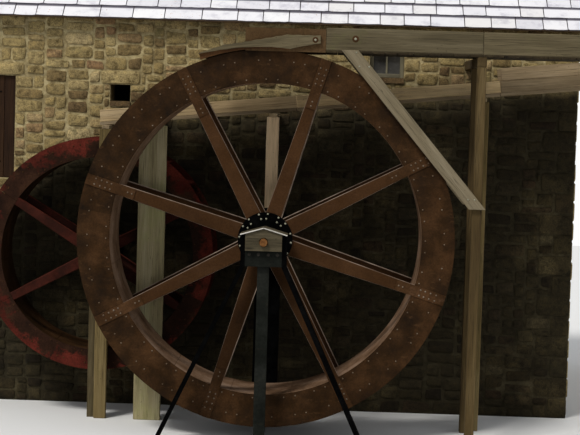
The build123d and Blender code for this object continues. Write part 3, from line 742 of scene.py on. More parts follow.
def old_red(name, node, inner, outer):
    """Red paint over brown steel, best kept near the rim's outer edge and on some of its plates."""
    f = Finish(name, specular=0.06)
    place = f.place()
    steel = f.ramp(
        f.noise(place, 3.0, 8, 0.65), (0.32, (0.010, 0.005, 0.003)), (0.52, (0.026, 0.011, 0.006)),
        (0.74, (0.062, 0.028, 0.014)))
    paint = f.ramp(
        f.noise(place, 2.2, 8, 0.65), (0.30, (0.030, 0.007, 0.004)), (0.50, (0.070, 0.013, 0.008)),
        (0.72, (0.140, 0.024, 0.015)))
    outward = f.between(f.distance(place, axle_of(node)), inner, outer)
    kept = f.maths("ADD", f.noise(place, 5.0, 8, 0.72), f.maths("MULTIPLY", outward, 0.26))
    kept = f.maths("ADD", kept, own_shade(f, place, node, RED_RIM_PLATES, 0.26))
    colour = speckled(f, place, f.mix(f.between(kept, 0.645, 0.745), steel, paint))
    return f.done(colour, [(kept, 0.2, 0.01), (f.noise(place, 120.0, 4, 0.65), 0.28, 0.002)])


brown_steel = rusted(
    "weathered_steel", (0.007, 0.004, 0.002), (0.026, 0.012, 0.004), (0.062, 0.028, 0.010),
    (0.100, 0.050, 0.020), plated="big_wheel_shrouds")
bucket_steel = rusted(
    "bucket_steel", (0.010, 0.005, 0.002), (0.030, 0.014, 0.005), (0.060, 0.028, 0.011),
    (0.100, 0.050, 0.024))
# painted light: the sole is written much paler than the rest of the wheel, for the sun on its inner face
sole_steel = rusted(
    "sole_steel", (0.070, 0.036, 0.017), (0.180, 0.108, 0.064), (0.290, 0.195, 0.135), (0.36, 0.26, 0.20))
# the spokes' edge colour is a painted highlight on their folds and flange edges
spoke_steel = rusted(
    "spoke_steel", (0.026, 0.011, 0.0035), (0.043, 0.0185, 0.006), (0.060, 0.027, 0.010),
    (0.080, 0.042, 0.022), 0.2, scale=0.7, lit_edge=(0.34, 0.26, 0.20))
strap_steel = rusted(
    "strap_steel", (0.020, 0.009, 0.003), (0.044, 0.020, 0.007), (0.078, 0.037, 0.015), (0.12, 0.065, 0.035))
red_paint = old_red("red_steel", "red_wheel_shrouds", red.inner, red.radius)
# the red arms' edge colour is a painted highlight on their folds and flange edges
red_arms = rusted(
    "red_arm_steel", (0.011, 0.004, 0.002), (0.028, 0.007, 0.004), (0.066, 0.014, 0.008),
    (0.018, 0.009, 0.005), 0.7, lit_edge=(0.095, 0.022, 0.013))
black_paint = rusted(
    "black_steel", (0.001, 0.001, 0.001), (0.0015, 0.0015, 0.0015), (0.004, 0.004, 0.004),
    (0.020, 0.017, 0.013), 0.15, (0.8, 0.95), 2.0, shine=0.01)
saddle_steel = rusted(
    "saddle_steel", (0.004, 0.0045, 0.0035), (0.009, 0.010, 0.008), (0.018, 0.019, 0.016),
    (0.040, 0.030, 0.020), 0.25, shine=0.03)
lip_steel = rusted(
    "lip_steel", (0.030, 0.013, 0.005), (0.072, 0.032, 0.012), (0.130, 0.060, 0.022),
    (0.260, 0.115, 0.040), 0.7)
grey_iron = rusted(
    "grey_steel", (0.016, 0.014, 0.011), (0.034, 0.030, 0.024), (0.062, 0.054, 0.044),
    (0.10, 0.055, 0.030), 0.5)
pale_bolts = rusted(
    "pale_bolt_heads", (0.17, 0.16, 0.11), (0.29, 0.275, 0.20), (0.43, 0.41, 0.31), (0.24, 0.17, 0.10), 0.3)
rusty_bolts = rusted(
    "rusty_bolt_heads", (0.060, 0.038, 0.022), (0.125, 0.088, 0.058), (0.220, 0.170, 0.125),
    (0.30, 0.26, 0.21))
shaft_rust = rusted(
    "shaft_steel", (0.050, 0.018, 0.005), (0.130, 0.052, 0.015), (0.230, 0.110, 0.036),
    (0.34, 0.22, 0.10), 0.6, scale=8.0)
chute_steel = rusted(
    "chute_steel", (0.056, 0.030, 0.012), (0.076, 0.043, 0.018), (0.096, 0.057, 0.027),
    (0.11, 0.070, 0.040), 0.15, scale=0.5)

# %% [markdown]
# ## Glass, and finishes for kept nodes
#
# The panes are old and dusty before a dark room. Clear glass would show bare walls, so a pane is a
# dark glossy coat with dust on it: its dark colour is painted shade for the room behind, and its paler
# patches are a painted reflection. Nodes that keep their own shape only change their finish.

# %% Glass


def pane():
    f = Finish("pane", roughness=0.06)
    place = f.place()
    # painted shade for the dark room behind the glass, with paler patches as a painted reflection
    colour = f.ramp(f.noise(place, 4.0, 4), (0.35, (0.018, 0.016, 0.012)), (0.7, (0.085, 0.080, 0.070)))
    dust = f.ramp(f.noise(place, 24.0, 6, 0.7), (0.55, 0.0), (0.8, 0.4))
    colour = f.mix(dust, colour, (0.22, 0.21, 0.18))
    return f.done(colour, [(f.noise(place, 3.0, 2), 0.05, 0.01)])


glass = pane()


def dress(finish, *names):
    """Give kept nodes a finish in place of their plain one."""
    for name in names:
        for held in nodes[name].material_slots:
            held.material = finish


# %% [markdown]
# ## Laying stone
#
# The walls are random rubble: squarish stones of all sizes in close joints that the mortar fills. A
# brick texture would be flat and far too neat, so real stones are laid. The outline of each is a
# rounded box with every corner worn by a different amount, and four rings of points carry it from
# inside the wall to a face that swells out.

# %% One stone
STONE_SIDES, BURIED = 16, 0.02
RUBBLE_JOINT, DRESSED_JOINT = (0.000, 0.008), (0.002, 0.007)
STONE_RINGS = ((0.0, 0.25), (0.004, 0.75), (0.013, 1.0))


def stone_outline(left, right, bottom, top, wear):
    """A worn box: rounded, with leaning top and foot, and each corner pulled in by itself."""
    u, v, a, b = (left + right) / 2, (bottom + top) / 2, (right - left) / 2, (top - bottom) / 2
    power = 2 / chance.uniform(5.0, 14.0) if wear > 0.5 else 0.22
    pulls = [chance.uniform(0, 0.22) * wear for _ in range(4)]
    leans = [chance.uniform(-0.15, 0.15) * wear for _ in range(2)]
    outline = []
    for k in range(STONE_SIDES):
        turn = 2 * pi * (k + 0.5) / STONE_SIDES
        x = copysign(abs(cos(turn)) ** power, cos(turn))
        y = copysign(abs(sin(turn)) ** power, sin(turn))
        keep = (1 - pulls[(x > 0) + 2 * (y > 0)] * abs(x * y)) * chance.uniform(1 - 0.05 * wear, 1)
        lean = leans[y > 0]
        outline.append((u + a * x * keep, v + b * y * keep * (1 - abs(lean) + lean * x)))
    return u, v, outline


def stone(pile, wall, left, right, bottom, top, tone=None, joint=RUBBLE_JOINT, wear=1.0, limit=None):
    """One face stone of a wall, inside its joints and below the limit, if one is given."""
    left, right = left + chance.uniform(*joint), right - chance.uniform(*joint)
    bottom, top = bottom + chance.uniform(*joint), top - chance.uniform(*joint)
    if limit:
        top = min(top, max(limit(left), limit(right)) - joint[0])
    if right - left < 0.04 or top - bottom < 0.03:
        return
    u, v, outline = stone_outline(left, right, bottom, top, wear)
    if limit:
        outline = [(x, min(y, limit(x) - joint[0])) for x, y in outline]
        v = min(v, sum(y for x, y in outline) / STONE_SIDES)
    proud = chance.uniform(0.008, 0.021)
    points = [wall.at(x, y, -BURIED) for x, y in outline]
    grain = [(x, y, 0) for x, y in outline]
    for shrink, share in STONE_RINGS:
        for x, y in outline:
            reach = max(1e-6, hypot(x - u, y - v))
            keep = 1 - min(0.5, shrink / reach)
            out = proud * share + chance.uniform(-0.0025, 0.0015) * share
            points.append(wall.at(u + (x - u) * keep, v + (y - v) * keep, out))
            grain.append((x, y, shrink / STONE_RINGS[-1][0]))
    points.append(wall.at(u, v, proud + chance.uniform(-0.001, 0.005)))
    grain.append((u, v, 1))
    rings = len(STONE_RINGS) + 1
    last = (rings - 1) * STONE_SIDES
    faces = rings_to_faces(rings, STONE_SIDES, closed=False)
    faces.append(tuple(range(STONE_SIDES - 1, -1, -1)))
    faces += [(last + k, last + (k + 1) % STONE_SIDES, last + STONE_SIDES) for k in range(STONE_SIDES)]
    pile.add(points, faces, tone, grain)


@dataclass
class Wall:
    """A wall's outer face: u runs to the right seen from outside, v is up."""
    origin: Vector
    right: Vector
    out: Vector
    length: float

    def at(self, u, v, out):
        return self.origin + self.right * u + Vector((0, 0, v)) + self.out * out

    def spot(self, x, y):
        """The u of a place given in the frame."""
        return (Vector((x, y, 0)) - Vector((self.origin.x, self.origin.y, 0))).dot(self.right)


# %% [markdown]
# ## Corners, openings and rubble
#
# A mason sets the quoins, the large corner stones, first and then fits rubble between them, each
# stone bridging a joint below it. Straight courses would look like brick. So the wall is ruled into
# small cells and filled from the foot up. At the first free cell goes a stone of random width and
# height, as far as its neighbours, the openings and the roof leave room.

# %% Rubble
CELL_WIDTH, CELLS_A_QUOIN = 0.05, 6
QUOIN_HEIGHT, QUOIN_LONG, QUOIN_SHORT = 0.27, 0.45, 0.25
CELLS_WIDE, CELLS_HIGH = (3, 4, 5, 6, 7, 7, 8, 8, 9), (2, 3, 3, 3, 4, 4, 4)
LONGEST_RUN, TALLEST_ROOM, OVERLAP = 12, 6, 0.02


def free_cells(wall, roofline, keep_out, cell_height):
    """Rows of cells, each true where rubble may stand."""
    columns = round(wall.length / CELL_WIDTH)
    rows = int(roofline(wall.length / 2) / cell_height) + 1
    cells = []
    for r in range(rows):
        height = (r + 0.5) * cell_height
        cells.append([height < roofline((c + 0.5) * CELL_WIDTH) for c in range(columns)])
    for left, right, bottom, top in keep_out:
        for r in range(max(0, round(bottom / cell_height)), min(rows, round(top / cell_height))):
            for c in range(max(0, round(left / CELL_WIDTH)), min(columns, round(right / CELL_WIDTH))):
                cells[r][c] = False
    return cells


def stone_size(cells, r, c):
    """How many cells wide and high the next stone is, leaving no sliver beside or above it."""
    run = 1
    while run < LONGEST_RUN and c + run < len(cells[r]) and cells[r][c + run]:
        run += 1
    wide = chance.choice(CELLS_WIDE)
    if run - wide < 3:
        wide = run if run <= max(CELLS_WIDE) else run // 2
    room = 1
    while room < TALLEST_ROOM and r + room < len(cells) and all(cells[r + room][c:c + wide]):
        room += 1
    high = chance.choice(CELLS_HIGH)
    if room - high < 2:
        high = room if room <= max(CELLS_HIGH) else room - 2
    return wide, high


def near(side, edges, reach):
    """The edge of an opening close to a stone's side, or the side itself."""
    return next((edge for edge in edges if abs(edge - side) <= reach), side)


def lay_wall(wall, roofline, keep_out, flip=0):
    """All the face stones of one wall: quoins at both ends, then rubble between them."""
    pile = Pile()
    corners = []
    top = roofline(0.0)
    rows = round(top / QUOIN_HEIGHT)
    for row in range(rows):
        low, high = top * row / rows, top * (row + 1) / rows
        for left_end in (True, False):
            size = QUOIN_LONG if (row + left_end + flip) % 2 else QUOIN_SHORT
            a, b = (0.0, size) if left_end else (wall.length - size, wall.length)
            corners.append((a, b, low, high))
            stone(pile, wall, a, b, low, high, chance.uniform(0.3, 0.85), DRESSED_JOINT, 0.3)
    step = top / rows / CELLS_A_QUOIN
    cells = free_cells(wall, roofline, corners + keep_out, step)
    for r, c in ((r, c) for r in range(len(cells)) for c in range(len(cells[0]))):
        if not cells[r][c]:
            continue
        wide, high = stone_size(cells, r, c)
        for used in cells[r:r + high]:
            used[c:c + wide] = [False] * wide
        a, b, low, up = c * CELL_WIDTH, (c + wide) * CELL_WIDTH, r * step, (r + high) * step
        beside = [span for span in keep_out if span[2] < up - OVERLAP and span[3] > low + OVERLAP]
        over = [span for span in keep_out if span[0] < b - OVERLAP and span[1] > a + OVERLAP]
        a = near(a, [span[1] for span in beside], CELL_WIDTH / 2)
        b = near(b, [span[0] for span in beside], CELL_WIDTH / 2)
        low = near(low, [span[3] for span in over], step / 2)
        up = near(up, [span[2] for span in over], step / 2)
        stone(pile, wall, a, b, low, up, limit=roofline)
    return pile


# %% [markdown]
# ## The four walls
#
# A stone is placed by how far along a wall and how high up it is. So each wall gets a corner and
# its directions, and the roof's underside says how high the stones may go.

# %% The four walls
front_low, front_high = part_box("front_wall")
back_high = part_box("back_wall")[1]
roof_low, roof_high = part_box("front_roof_slope")
ridge_low, ridge_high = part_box("roof_ridge")
ridge_y = (ridge_low.y + ridge_high.y) / 2
wall_left, wall_right = front_low.x, front_high.x
wall_front, wall_back = front_low.y, back_high.y
long_side, short_side = wall_right - wall_left, wall_back - wall_front
ROOF_PITCH, EAVES_CLEAR, GABLE_CLEAR, SILL_CLEAR = radians(36), 0.078, 0.01, 0.004


def wall_face(x, y, right, out, length):
    """The outer face that starts at x, y on the ground."""
    return Wall(Vector((x, y, 0)), Vector(right), Vector(out), length)


front_face = wall_face(wall_left, wall_front, (1, 0, 0), (0, -1, 0), long_side)
back_face = wall_face(wall_right, wall_back, (-1, 0, 0), (0, 1, 0), long_side)
left_face = wall_face(wall_left, wall_back, (0, -1, 0), (-1, 0, 0), short_side)
right_face = wall_face(wall_right, wall_front, (0, 1, 0), (1, 0, 0), short_side)


def underside(y):
    """Height of the roof's underside at depth y."""
    return roof_low.z + (min(y, 2 * ridge_y - y) - roof_low.y) * tan(ROOF_PITCH)


def opening(wall, low, high, grow=0.0):
    """A kept-out span of a wall, from the lowest and highest corner of what fills it."""
    a, b = sorted((wall.spot(low.x, low.y), wall.spot(high.x, high.y)))
    return (a - grow, b + grow, low.z - grow, high.z + grow)


print("wall", round(front_face.length, 2), "by", round(left_face.length, 2), "m")

# %% [markdown]
# ## Openings of the front and back wall
#
# The window, the shutter, the slot and the two shaft holes are left free of stones. The sills and
# frames are joined solids in the frame, so their loose parts are told apart by where they lie.

# %% Openings


def islands(name):
    """The boxes of a node's separate solids, each as its lowest and highest corner."""
    mesh = nodes[name].data
    places = [tuple(round(c, 5) for c in v.co) for v in mesh.vertices]
    owner = {p: p for p in places}

    def root(p):
        while owner[p] != p:
            owner[p] = owner[owner[p]]
            p = owner[p]
        return p

    for polygon in mesh.polygons:
        first = root(places[polygon.vertices[0]])
        for index in polygon.vertices[1:]:
            owner[root(places[index])] = first
    groups = {}
    for p in owner:
        groups.setdefault(root(p), []).append(p)
    boxes = [(Vector(map(min, zip(*group))), Vector(map(max, zip(*group)))) for group in groups.values()]
    return sorted(boxes, key=lambda pair: tuple(pair[0]))


frames = islands("window_frames")
sill_boxes = islands("sills")
shutter_low, shutter_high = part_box("upper_shutter")
door_low, door_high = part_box("back_door")
LINTEL_HEIGHT, LINTEL_EARS, SLOT_HEIGHT = 0.19, 0.14, 0.22
front_spans, back_spans, lintels = [], [], []


def with_lintel(span):
    """The same span with room for the long stone over it."""
    a, b, low, high = span
    return [span, (a - LINTEL_EARS, b + LINTEL_EARS, high, high + LINTEL_HEIGHT)]


def side_of(corner):
    """The long wall that a corner is in, and the list of what is kept free there."""
    return (front_face, front_spans) if corner.y < ridge_y else (back_face, back_spans)


for low, high in frames:
    wall, spans = side_of(low)
    both = with_lintel(opening(wall, low, high))
    spans += both
    lintels.append((wall, both[1]))
for low, high in sill_boxes:
    wall, spans = side_of(low)
    spans.append(opening(wall, low, high, SILL_CLEAR))
slot_sill = min((pair for pair in sill_boxes if pair[0].y < ridge_y), key=lambda pair: pair[0].x)
slot_left, slot_right, _, slot_foot = opening(front_face, *slot_sill)
slot_both = with_lintel((slot_left, slot_right, slot_foot, slot_foot + SLOT_HEIGHT))
shutter_both = with_lintel(opening(front_face, shutter_low, shutter_high))
door_both = with_lintel(opening(back_face, door_low, door_high))
front_spans += slot_both + shutter_both
back_spans += door_both
lintels += [(front_face, slot_both[1]), (front_face, shutter_both[1]), (back_face, door_both[1])]
for low, high in islands("wall_bearings"):
    front_spans.append(opening(front_face, low, high, GABLE_CLEAR))
print("spans kept free: front", len(front_spans), "back", len(back_spans))

# %% Stones on the walls


def long_wall_top(u):
    """The same height all along a long wall."""
    return roof_low.z + (wall_front - roof_low.y) * tan(ROOF_PITCH) - EAVES_CLEAR


def gable_left_top(u):
    return underside(wall_back - u) - GABLE_CLEAR


def gable_right_top(u):
    return underside(wall_front + u) - GABLE_CLEAR


for name, wall, top, spans, finish, flip in (
        ("front_wall_stones", front_face, long_wall_top, front_spans, damp_shaded_stone, 0),
        ("back_wall_stones", back_face, long_wall_top, back_spans, dry_stone, 0),
        ("left_gable_stones", left_face, gable_left_top, [], dry_stone, 1),
        ("right_gable_stones", right_face, gable_right_top, [], dry_stone, 1)):
    pile = lay_wall(wall, top, spans, flip)
    for owner_wall, (a, b, low, high) in lintels:
        if owner_wall is wall:
            stone(pile, wall, a, b, low, min(high, top(a)), 0.7, DRESSED_JOINT, 0.3)
    pile.piece(name, finish, "wall_stone", smooth=True)
dress(damp_shaded_mortar, "front_wall")
dress(dry_mortar, "back_wall", "left_gable_wall", "right_gable_wall")
dress(sandstone("sill_stone", 0.0, smeared=False), "sills")

# %% [markdown]
# ## Roof boards
#
# The roof is thin at its edge, only slates on close boards. From the ground just the undersides of
# the boards show, below the eaves and along the gables. A plain sheet would do for the camera, but
# real boards give the roof an edge and an underside that hold up from every side.

# %% Roof boards
SLOPE = (ridge_y - roof_low.y) / cos(ROOF_PITCH)
BOARD_DEPTH, BOARD_WIDTH = 0.010, 0.19
roof_x0, roof_x1 = roof_low.x, roof_high.x


@dataclass
class Slope:
    """One side of the roof: s runs up the slope from the eaves, n is out of it."""
    name: str
    eaves_y: float
    inward: float

    def at(self, x, s, n):
        y = self.eaves_y + self.inward * (s * cos(ROOF_PITCH) - n * sin(ROOF_PITCH))
        return Vector((x, y, roof_low.z + s * sin(ROOF_PITCH) + n * cos(ROOF_PITCH)))

    def up(self):
        return Vector((0, self.inward * cos(ROOF_PITCH), sin(ROOF_PITCH)))


slopes = [Slope("front", roof_low.y, 1), Slope("back", 2 * ridge_y - roof_low.y, -1)]


def eaves_start(n):
    """How far up the slope a layer must start to stay behind the eaves line."""
    return n * tan(ROOF_PITCH) + 0.004


def ridge_stop(n):
    """How far up the slope a layer may run before it meets the other side."""
    return SLOPE + n * tan(ROOF_PITCH) - 0.004


for slope in slopes:
    pile = Pile()
    rows = int(SLOPE / BOARD_WIDTH)
    spacing = (SLOPE - eaves_start(BOARD_DEPTH)) / rows
    for row in range(rows):
        s = eaves_start(BOARD_DEPTH) + (row + 0.5) * spacing
        start, end = (slope.at(x, s, BOARD_DEPTH / 2) for x in (roof_x0 + 0.01, roof_x1 - 0.01))
        beam(pile, start, end, slope.up(), spacing - 0.003, BOARD_DEPTH,
             chamfer=0.001, wander=0.0005, step=2.0)
    pile.piece(f"{slope.name}_roof_timbers", roof_wood, "eaves_timber")

# %% [markdown]
# ## Slates
#
# Stone slates lie in courses that grow shorter towards the ridge, each course lapping the one
# below. Every slate is its own thick plate with a chipped lower edge, tilted by the lap. The eaves
# course shows deepest, as it does on the real roof.

# %% Slates
COURSE_EAVES, COURSE_RIDGE, SLATE_LAP = 0.262, 0.150, 0.075
SLATE_WIDTHS, SLATE_GAP = (0.29, 0.50), 0.004
SLATE_THICK, EAVES_FOOT, COURSE_FOOT, SLATE_HEAD = 0.013, 0.014, 0.028, 0.011
FOOT_POINTS, CHIP, CORNER_CHIP = (0.0, 0.12, 0.35, 0.6, 0.85, 1.0), 0.008, 0.007


def slate_plate(pile, slope, x0, x1, s0, s1, n0, covered):
    """One slate from its foot at s0 to its head at s1. Its grain notes how far under the next it is.

    The edge of the foot is given the lap's mark, so it carries the same painted shade as the lap.
    """
    foot = [(x0 + (x1 - x0) * t, s0 + chance.uniform(0, CHIP) + (CORNER_CHIP if t in (0.0, 1.0) else 0))
            for t in FOOT_POINTS]
    outline = foot + [(x1, s1), (x0, s1)]
    thick = SLATE_THICK * chance.uniform(0.8, 1.25)
    points, grain = [], []
    for shrink, lift in ((0.0, 0.0), (0.0, thick * 0.7), (0.004, thick)):
        for x, s in outline:
            t = (s - s0) / (s1 - s0)
            x_in = x + (shrink if x < (x0 + x1) / 2 else -shrink)
            s_in = s + (shrink if t < 0.5 else 0)
            n = n0 + (SLATE_HEAD - n0) * t + lift + chance.uniform(-0.0008, 0.0008)
            points.append(slope.at(x_in, s_in, n))
            # foot edge points get the lap's mark: painted shade on the foot's edge
            grain.append((x, s - covered if shrink or t > 0.5 else 0, s))
    faces = rings_to_faces(3, len(outline))
    if slope.inward < 0:
        faces = [tuple(reversed(face)) for face in faces]
    pile.add(points, faces, grain=grain)


for slope in slopes:
    pile = Pile()
    s, n0, row = eaves_start(EAVES_FOOT + SLATE_THICK), EAVES_FOOT, 0
    while s < SLOPE - 0.06:
        share = s / SLOPE
        exposure = COURSE_EAVES * (1 - share) + COURSE_RIDGE * share
        x = roof_x0 + 0.002
        while x < roof_x1 - 0.01:
            width = chance.uniform(*SLATE_WIDTHS) * (1 - 0.25 * share)
            if roof_x1 - (x + width) < 0.14:
                width = roof_x1 - 0.002 - x
            head = min(s + exposure + SLATE_LAP, ridge_stop(SLATE_HEAD))
            foot = s + chance.uniform(0, 0.006)
            slate_plate(pile, slope, x + SLATE_GAP, x + width - SLATE_GAP, foot, head, n0, s + exposure)
            x += width
        s, n0, row = s + exposure, COURSE_FOOT, row + 1
    pile.piece(f"{slope.name}_roof_slates", slate_finish, "roof_slate",
               stands_for=(f"{slope.name}_roof_slope",))
    print(slope.name, "courses", row)

# %% [markdown]
# ## Ridge stones
#
# Along the top sit stones cut to an upside-down V. One bent outline drawn out along the ridge and
# sawn into lengths would look too neat, so each has a small gap and its own slight drop in height and
# width.

# %% Ridge
RIDGE_LENGTH, RIDGE_WALL = 0.47, 0.050
pile = Pile()
count = round((roof_x1 - roof_x0) / RIDGE_LENGTH)
half = (ridge_high.y - ridge_low.y) / 2
for k in range(count):
    x0 = roof_x0 + (roof_x1 - roof_x0) * k / count + 0.003
    x1 = roof_x0 + (roof_x1 - roof_x0) * (k + 1) / count - 0.003
    points = []
    top = ridge_high.z - 0.002 - chance.uniform(0, 0.006)
    wide = half - chance.uniform(0, 0.008)
    foot = top - wide * tan(ROOF_PITCH)
    section = [(-wide, foot), (-wide, foot - RIDGE_WALL * 0.7), (0, top - RIDGE_WALL * 1.2),
               (wide, foot - RIDGE_WALL * 0.7), (wide, foot), (0.035, top - 0.010), (0, top),
               (-0.035, top - 0.010)]
    for x, shrink in ((x0, 0.004), (x0 + 0.006, 0), (x1 - 0.006, 0), (x1, 0.004)):
        points += [(x, ridge_y + y * (1 - shrink * 4), z - (shrink if z > foot else 0)) for y, z in section]
    faces = [tuple(reversed(face)) for face in rings_to_faces(4, len(section))]
    pile.add(points, faces, grain=[(x, -1, z) for x, y, z in points])
pile.piece("ridge_stones", slate_finish, "roof_slate", stands_for=("roof_ridge",))

# %% [markdown]
# ## Eaves boards, window, shutter and door
#
# A thin orange-brown board closes the top of each long wall. The shutter and the door are upright
# boards on ledges with iron strap hinges. The window has a central glazing bar.

# %% Eaves boards
PLANK_HEIGHT, PLANK_CUTS = 0.034, (0, 0.31, 0.66, 1)
pile = Pile()
for low, high in islands("eaves_boards"):
    cuts = [low.x + (high.x - low.x) * t for t in PLANK_CUTS]
    top = underside(low.y if low.y < ridge_y else high.y) - 0.001
    for a, b in zip(cuts, cuts[1:]):
        block_of(pile, (a + 0.002, low.y, top - PLANK_HEIGHT), (b - 0.002, high.y, top))
pile.piece("eaves_planks", eaves_wood, "eaves_timber", stands_for=("eaves_boards",))

# %% Boarded shutter and door
LEDGES, STRAP_ROWS, STRAP_SHARE, STRAP_BOLTS = (0.14, 0.5, 0.86), (0.16, 0.84), 0.78, (0.08, 0.36, 0.64)


def boarded(name, node, low, high, outward, boards):
    """A ledged leaf: upright boards, three ledges behind, strap hinges in front."""
    pile = Pile()
    thick = high.y - low.y
    face = high.y if outward > 0 else low.y
    inner = face - outward * thick
    board_back = face - outward * thick * 0.62
    width = (high.x - low.x) / boards
    for k in range(boards):
        x = low.x + width * k
        y0, y1 = sorted((face - outward * 0.006, board_back))
        block_of(pile, (x + 0.0015, y0, low.z + 0.004), (x + width - 0.0015, y1, high.z - 0.004), "Z",
                 chamfer=0.005)
    for share in LEDGES:
        z = low.z + (high.z - low.z) * share
        y0, y1 = sorted((board_back, inner))
        block_of(pile, (low.x + 0.03, y0, z - 0.05), (high.x - 0.03, y1, z + 0.05), "X")
    pile.piece(f"{name}_boards", shutter_wood, "shutter_timber", stands_for=(node,))
    straps = Pile()
    hinge, way = (low.x + 0.01, 1) if outward < 0 else (high.x - 0.01, -1)
    reach = (high.x - low.x) * STRAP_SHARE
    outline = [(0, -0.022), (reach * 0.8, -0.014), (reach, -0.006), (reach, 0.006),
               (reach * 0.8, 0.014), (0, 0.022)]
    for share in STRAP_ROWS:
        z = low.z + (high.z - low.z) * share
        slab(straps, outline, (hinge, face, z), 0.006, chamfer=0.001, right=(way, 0, 0))
        for t in STRAP_BOLTS:
            bolt(straps, (hinge + way * reach * t, face, z), (0, outward, 0), 0.008, 0.004)
    straps.piece(f"{name}_irons", black_paint, "black_steel")


boarded("shutter", "upper_shutter", shutter_low, shutter_high, -1, 6)
boarded("door", "back_door", door_low, door_high, 1, 7)

# %% Window frames and bars
FRAME_WIDTH, BAR_WIDTH, BAR_SET_IN = 0.055, 0.026, 0.008
pile = Pile()
for low, high in frames:
    for x0, x1 in ((low.x, low.x + FRAME_WIDTH), (high.x - FRAME_WIDTH, high.x)):
        block_of(pile, (x0, low.y, low.z), (x1, high.y, high.z), "Z", wander=0.001)
    for z0, z1 in ((low.z, low.z + FRAME_WIDTH), (high.z - FRAME_WIDTH, high.z)):
        block_of(pile, (low.x + FRAME_WIDTH, low.y, z0), (high.x - FRAME_WIDTH, high.y, z1), "X",
                 wander=0.001)
    middle = (low.x + high.x) / 2
    bar_low = (middle - BAR_WIDTH / 2, low.y + BAR_SET_IN, low.z + FRAME_WIDTH)
    bar_high = (middle + BAR_WIDTH / 2, high.y - BAR_SET_IN, high.z - FRAME_WIDTH)
    block_of(pile, bar_low, bar_high, "Z", wander=0.001)
pile.piece("window_joinery", painted_wood, "window_paint", stands_for=("window_frames",))
dress(glass, "window_glass")
floor_wood = timber(
    "upper_floor_timber", (0.110, 0.068, 0.034), (0.200, 0.135, 0.075), (0.290, 0.215, 0.130), along="X")
dress(floor_wood, "upper_floor")

# %% [markdown]
# ## Wheels
#
# The shrouds, the sole, the buckets and the straps have their true shape already and only need
# their finish. The arms are folded channels, with an open back, so they are made anew: a section
# shaped like a square bracket that narrows from the hub to the rim. Their folds and flange edges
# carry a painted highlight, so each point's tone says whether it lies on such an edge.

# %% Arms
WEB, FOLD, ARM_DEPTH, ROOT_GAP = 0.008, 0.009, 0.070, 0.006


def channel_arms(wheel, finish, slot):
    pile = Pile()
    root_radius = (wheel.root + ROOT_GAP) / 2 / tan(pi / wheel.spokes)
    tip_radius = sqrt(wheel.inner ** 2 - (wheel.tip / 2) ** 2) - 0.002
    for angle in wheel.spoke_angles():
        for face, way in ((wheel.front, 1), (wheel.back, -1)):
            points, edges = [], []
            for share in (0.0, 0.33, 0.66, 1.0):
                radius = root_radius + (tip_radius - root_radius) * share
                w = (wheel.root + (wheel.tip - wheel.root) * share) / 2
                # the third number of each point becomes its tone, marking a painted highlight on folds and
                # flange edges
                half = [(w - FOLD, 0, 0), (w - FOLD / 3, FOLD / 3, 0.15), (w, FOLD, 1),
                        (w, ARM_DEPTH - FOLD, 0.7), (w, ARM_DEPTH, 1), (w - WEB, ARM_DEPTH, 1),
                        (w - WEB, WEB, 0)]
                section = half + [(-aside, depth, edge) for aside, depth, edge in reversed(half)]
                for aside, depth, edge in section:
                    points.append(wheel.at(radius, angle, face + way * depth, aside))
                    edges.append(float(edge))
            faces = rings_to_faces(4, len(section))
            if way > 0:
                faces = [tuple(reversed(f)) for f in faces]
            pile.add(points, faces, edges)
    pile.piece(f"{wheel.body}_channels", finish, slot, body=wheel.body,
               stands_for=(f"{wheel.body}_spokes",))


channel_arms(big, spoke_steel, "weathered_steel")
channel_arms(red, red_arms, "red_steel")
dress(brown_steel, "big_wheel_shrouds")
dress(bucket_steel, "big_wheel_buckets", "red_wheel_sole")
dress(sole_steel, "big_wheel_sole")
dress(strap_steel, "big_wheel_straps")
dress(black_paint, "big_wheel_hubs", "red_wheel_hubs")
dress(shaft_rust, "big_wheel_axle", "red_wheel_axle")
dress(red_paint, "red_wheel_shrouds", "red_wheel_buckets")

# %% [markdown]
# ## Bolts of the wheels
#
# Each bucket plate is bolted to both shrouds by two bolts near the rim and two near the sole, all
# as rusty as the plate. The straps have their own rows, and the hub plates clamp every arm with
# four pale bolts that stand out on the black.

# %% Wheel bolts
BOLT_RINGS = ((0.945, 9.0, 1.8), (0.845, 0.5, 2.1))
STRAP_PAIRS, STRAP_SINGLES = (0.116, 0.188, 0.256, 0.315), (0.533, 0.586)
HUB_ROWS, HUB_ASIDE, RED_HUB_ROWS, RED_HUB_ASIDE = (0.246, 0.307), 0.068, (0.180, 0.225), 0.045
STRAP_ASIDE, HUB_PLATE = 0.035, 0.030
RIM_BOLT, STRAP_BOLT, HUB_BOLT = (0.010, 0.009, 6), (0.011, 0.009), (0.0125, 0.010)


def wheel_bolts(wheel, straps, finish, slot):
    pile = Pile()
    faces = [(wheel.front, -1), (wheel.back, 1)]
    for y, way in faces:
        for angle in wheel.bucket_angles():
            for share, lag, spread in BOLT_RINGS:
                for side in (-spread, spread):
                    place = wheel.at(wheel.radius * share, angle - lag + side, y)
                    bolt(pile, place, (0, way, 0), *RIM_BOLT)
        if straps:
            strap_low, strap_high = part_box(straps)
            face = strap_low.y if way < 0 else strap_high.y
            for angle in wheel.spoke_angles():
                for below in STRAP_PAIRS:
                    for aside in (-STRAP_ASIDE, STRAP_ASIDE):
                        place = wheel.at(wheel.radius - below, angle, face, aside)
                        bolt(pile, place, (0, way, 0), *STRAP_BOLT)
                for below in STRAP_SINGLES:
                    bolt(pile, wheel.at(wheel.radius - below, angle, face), (0, way, 0), *STRAP_BOLT)
    pile.piece(f"{wheel.body}_bolts", finish, slot, body=wheel.body, smooth=True)


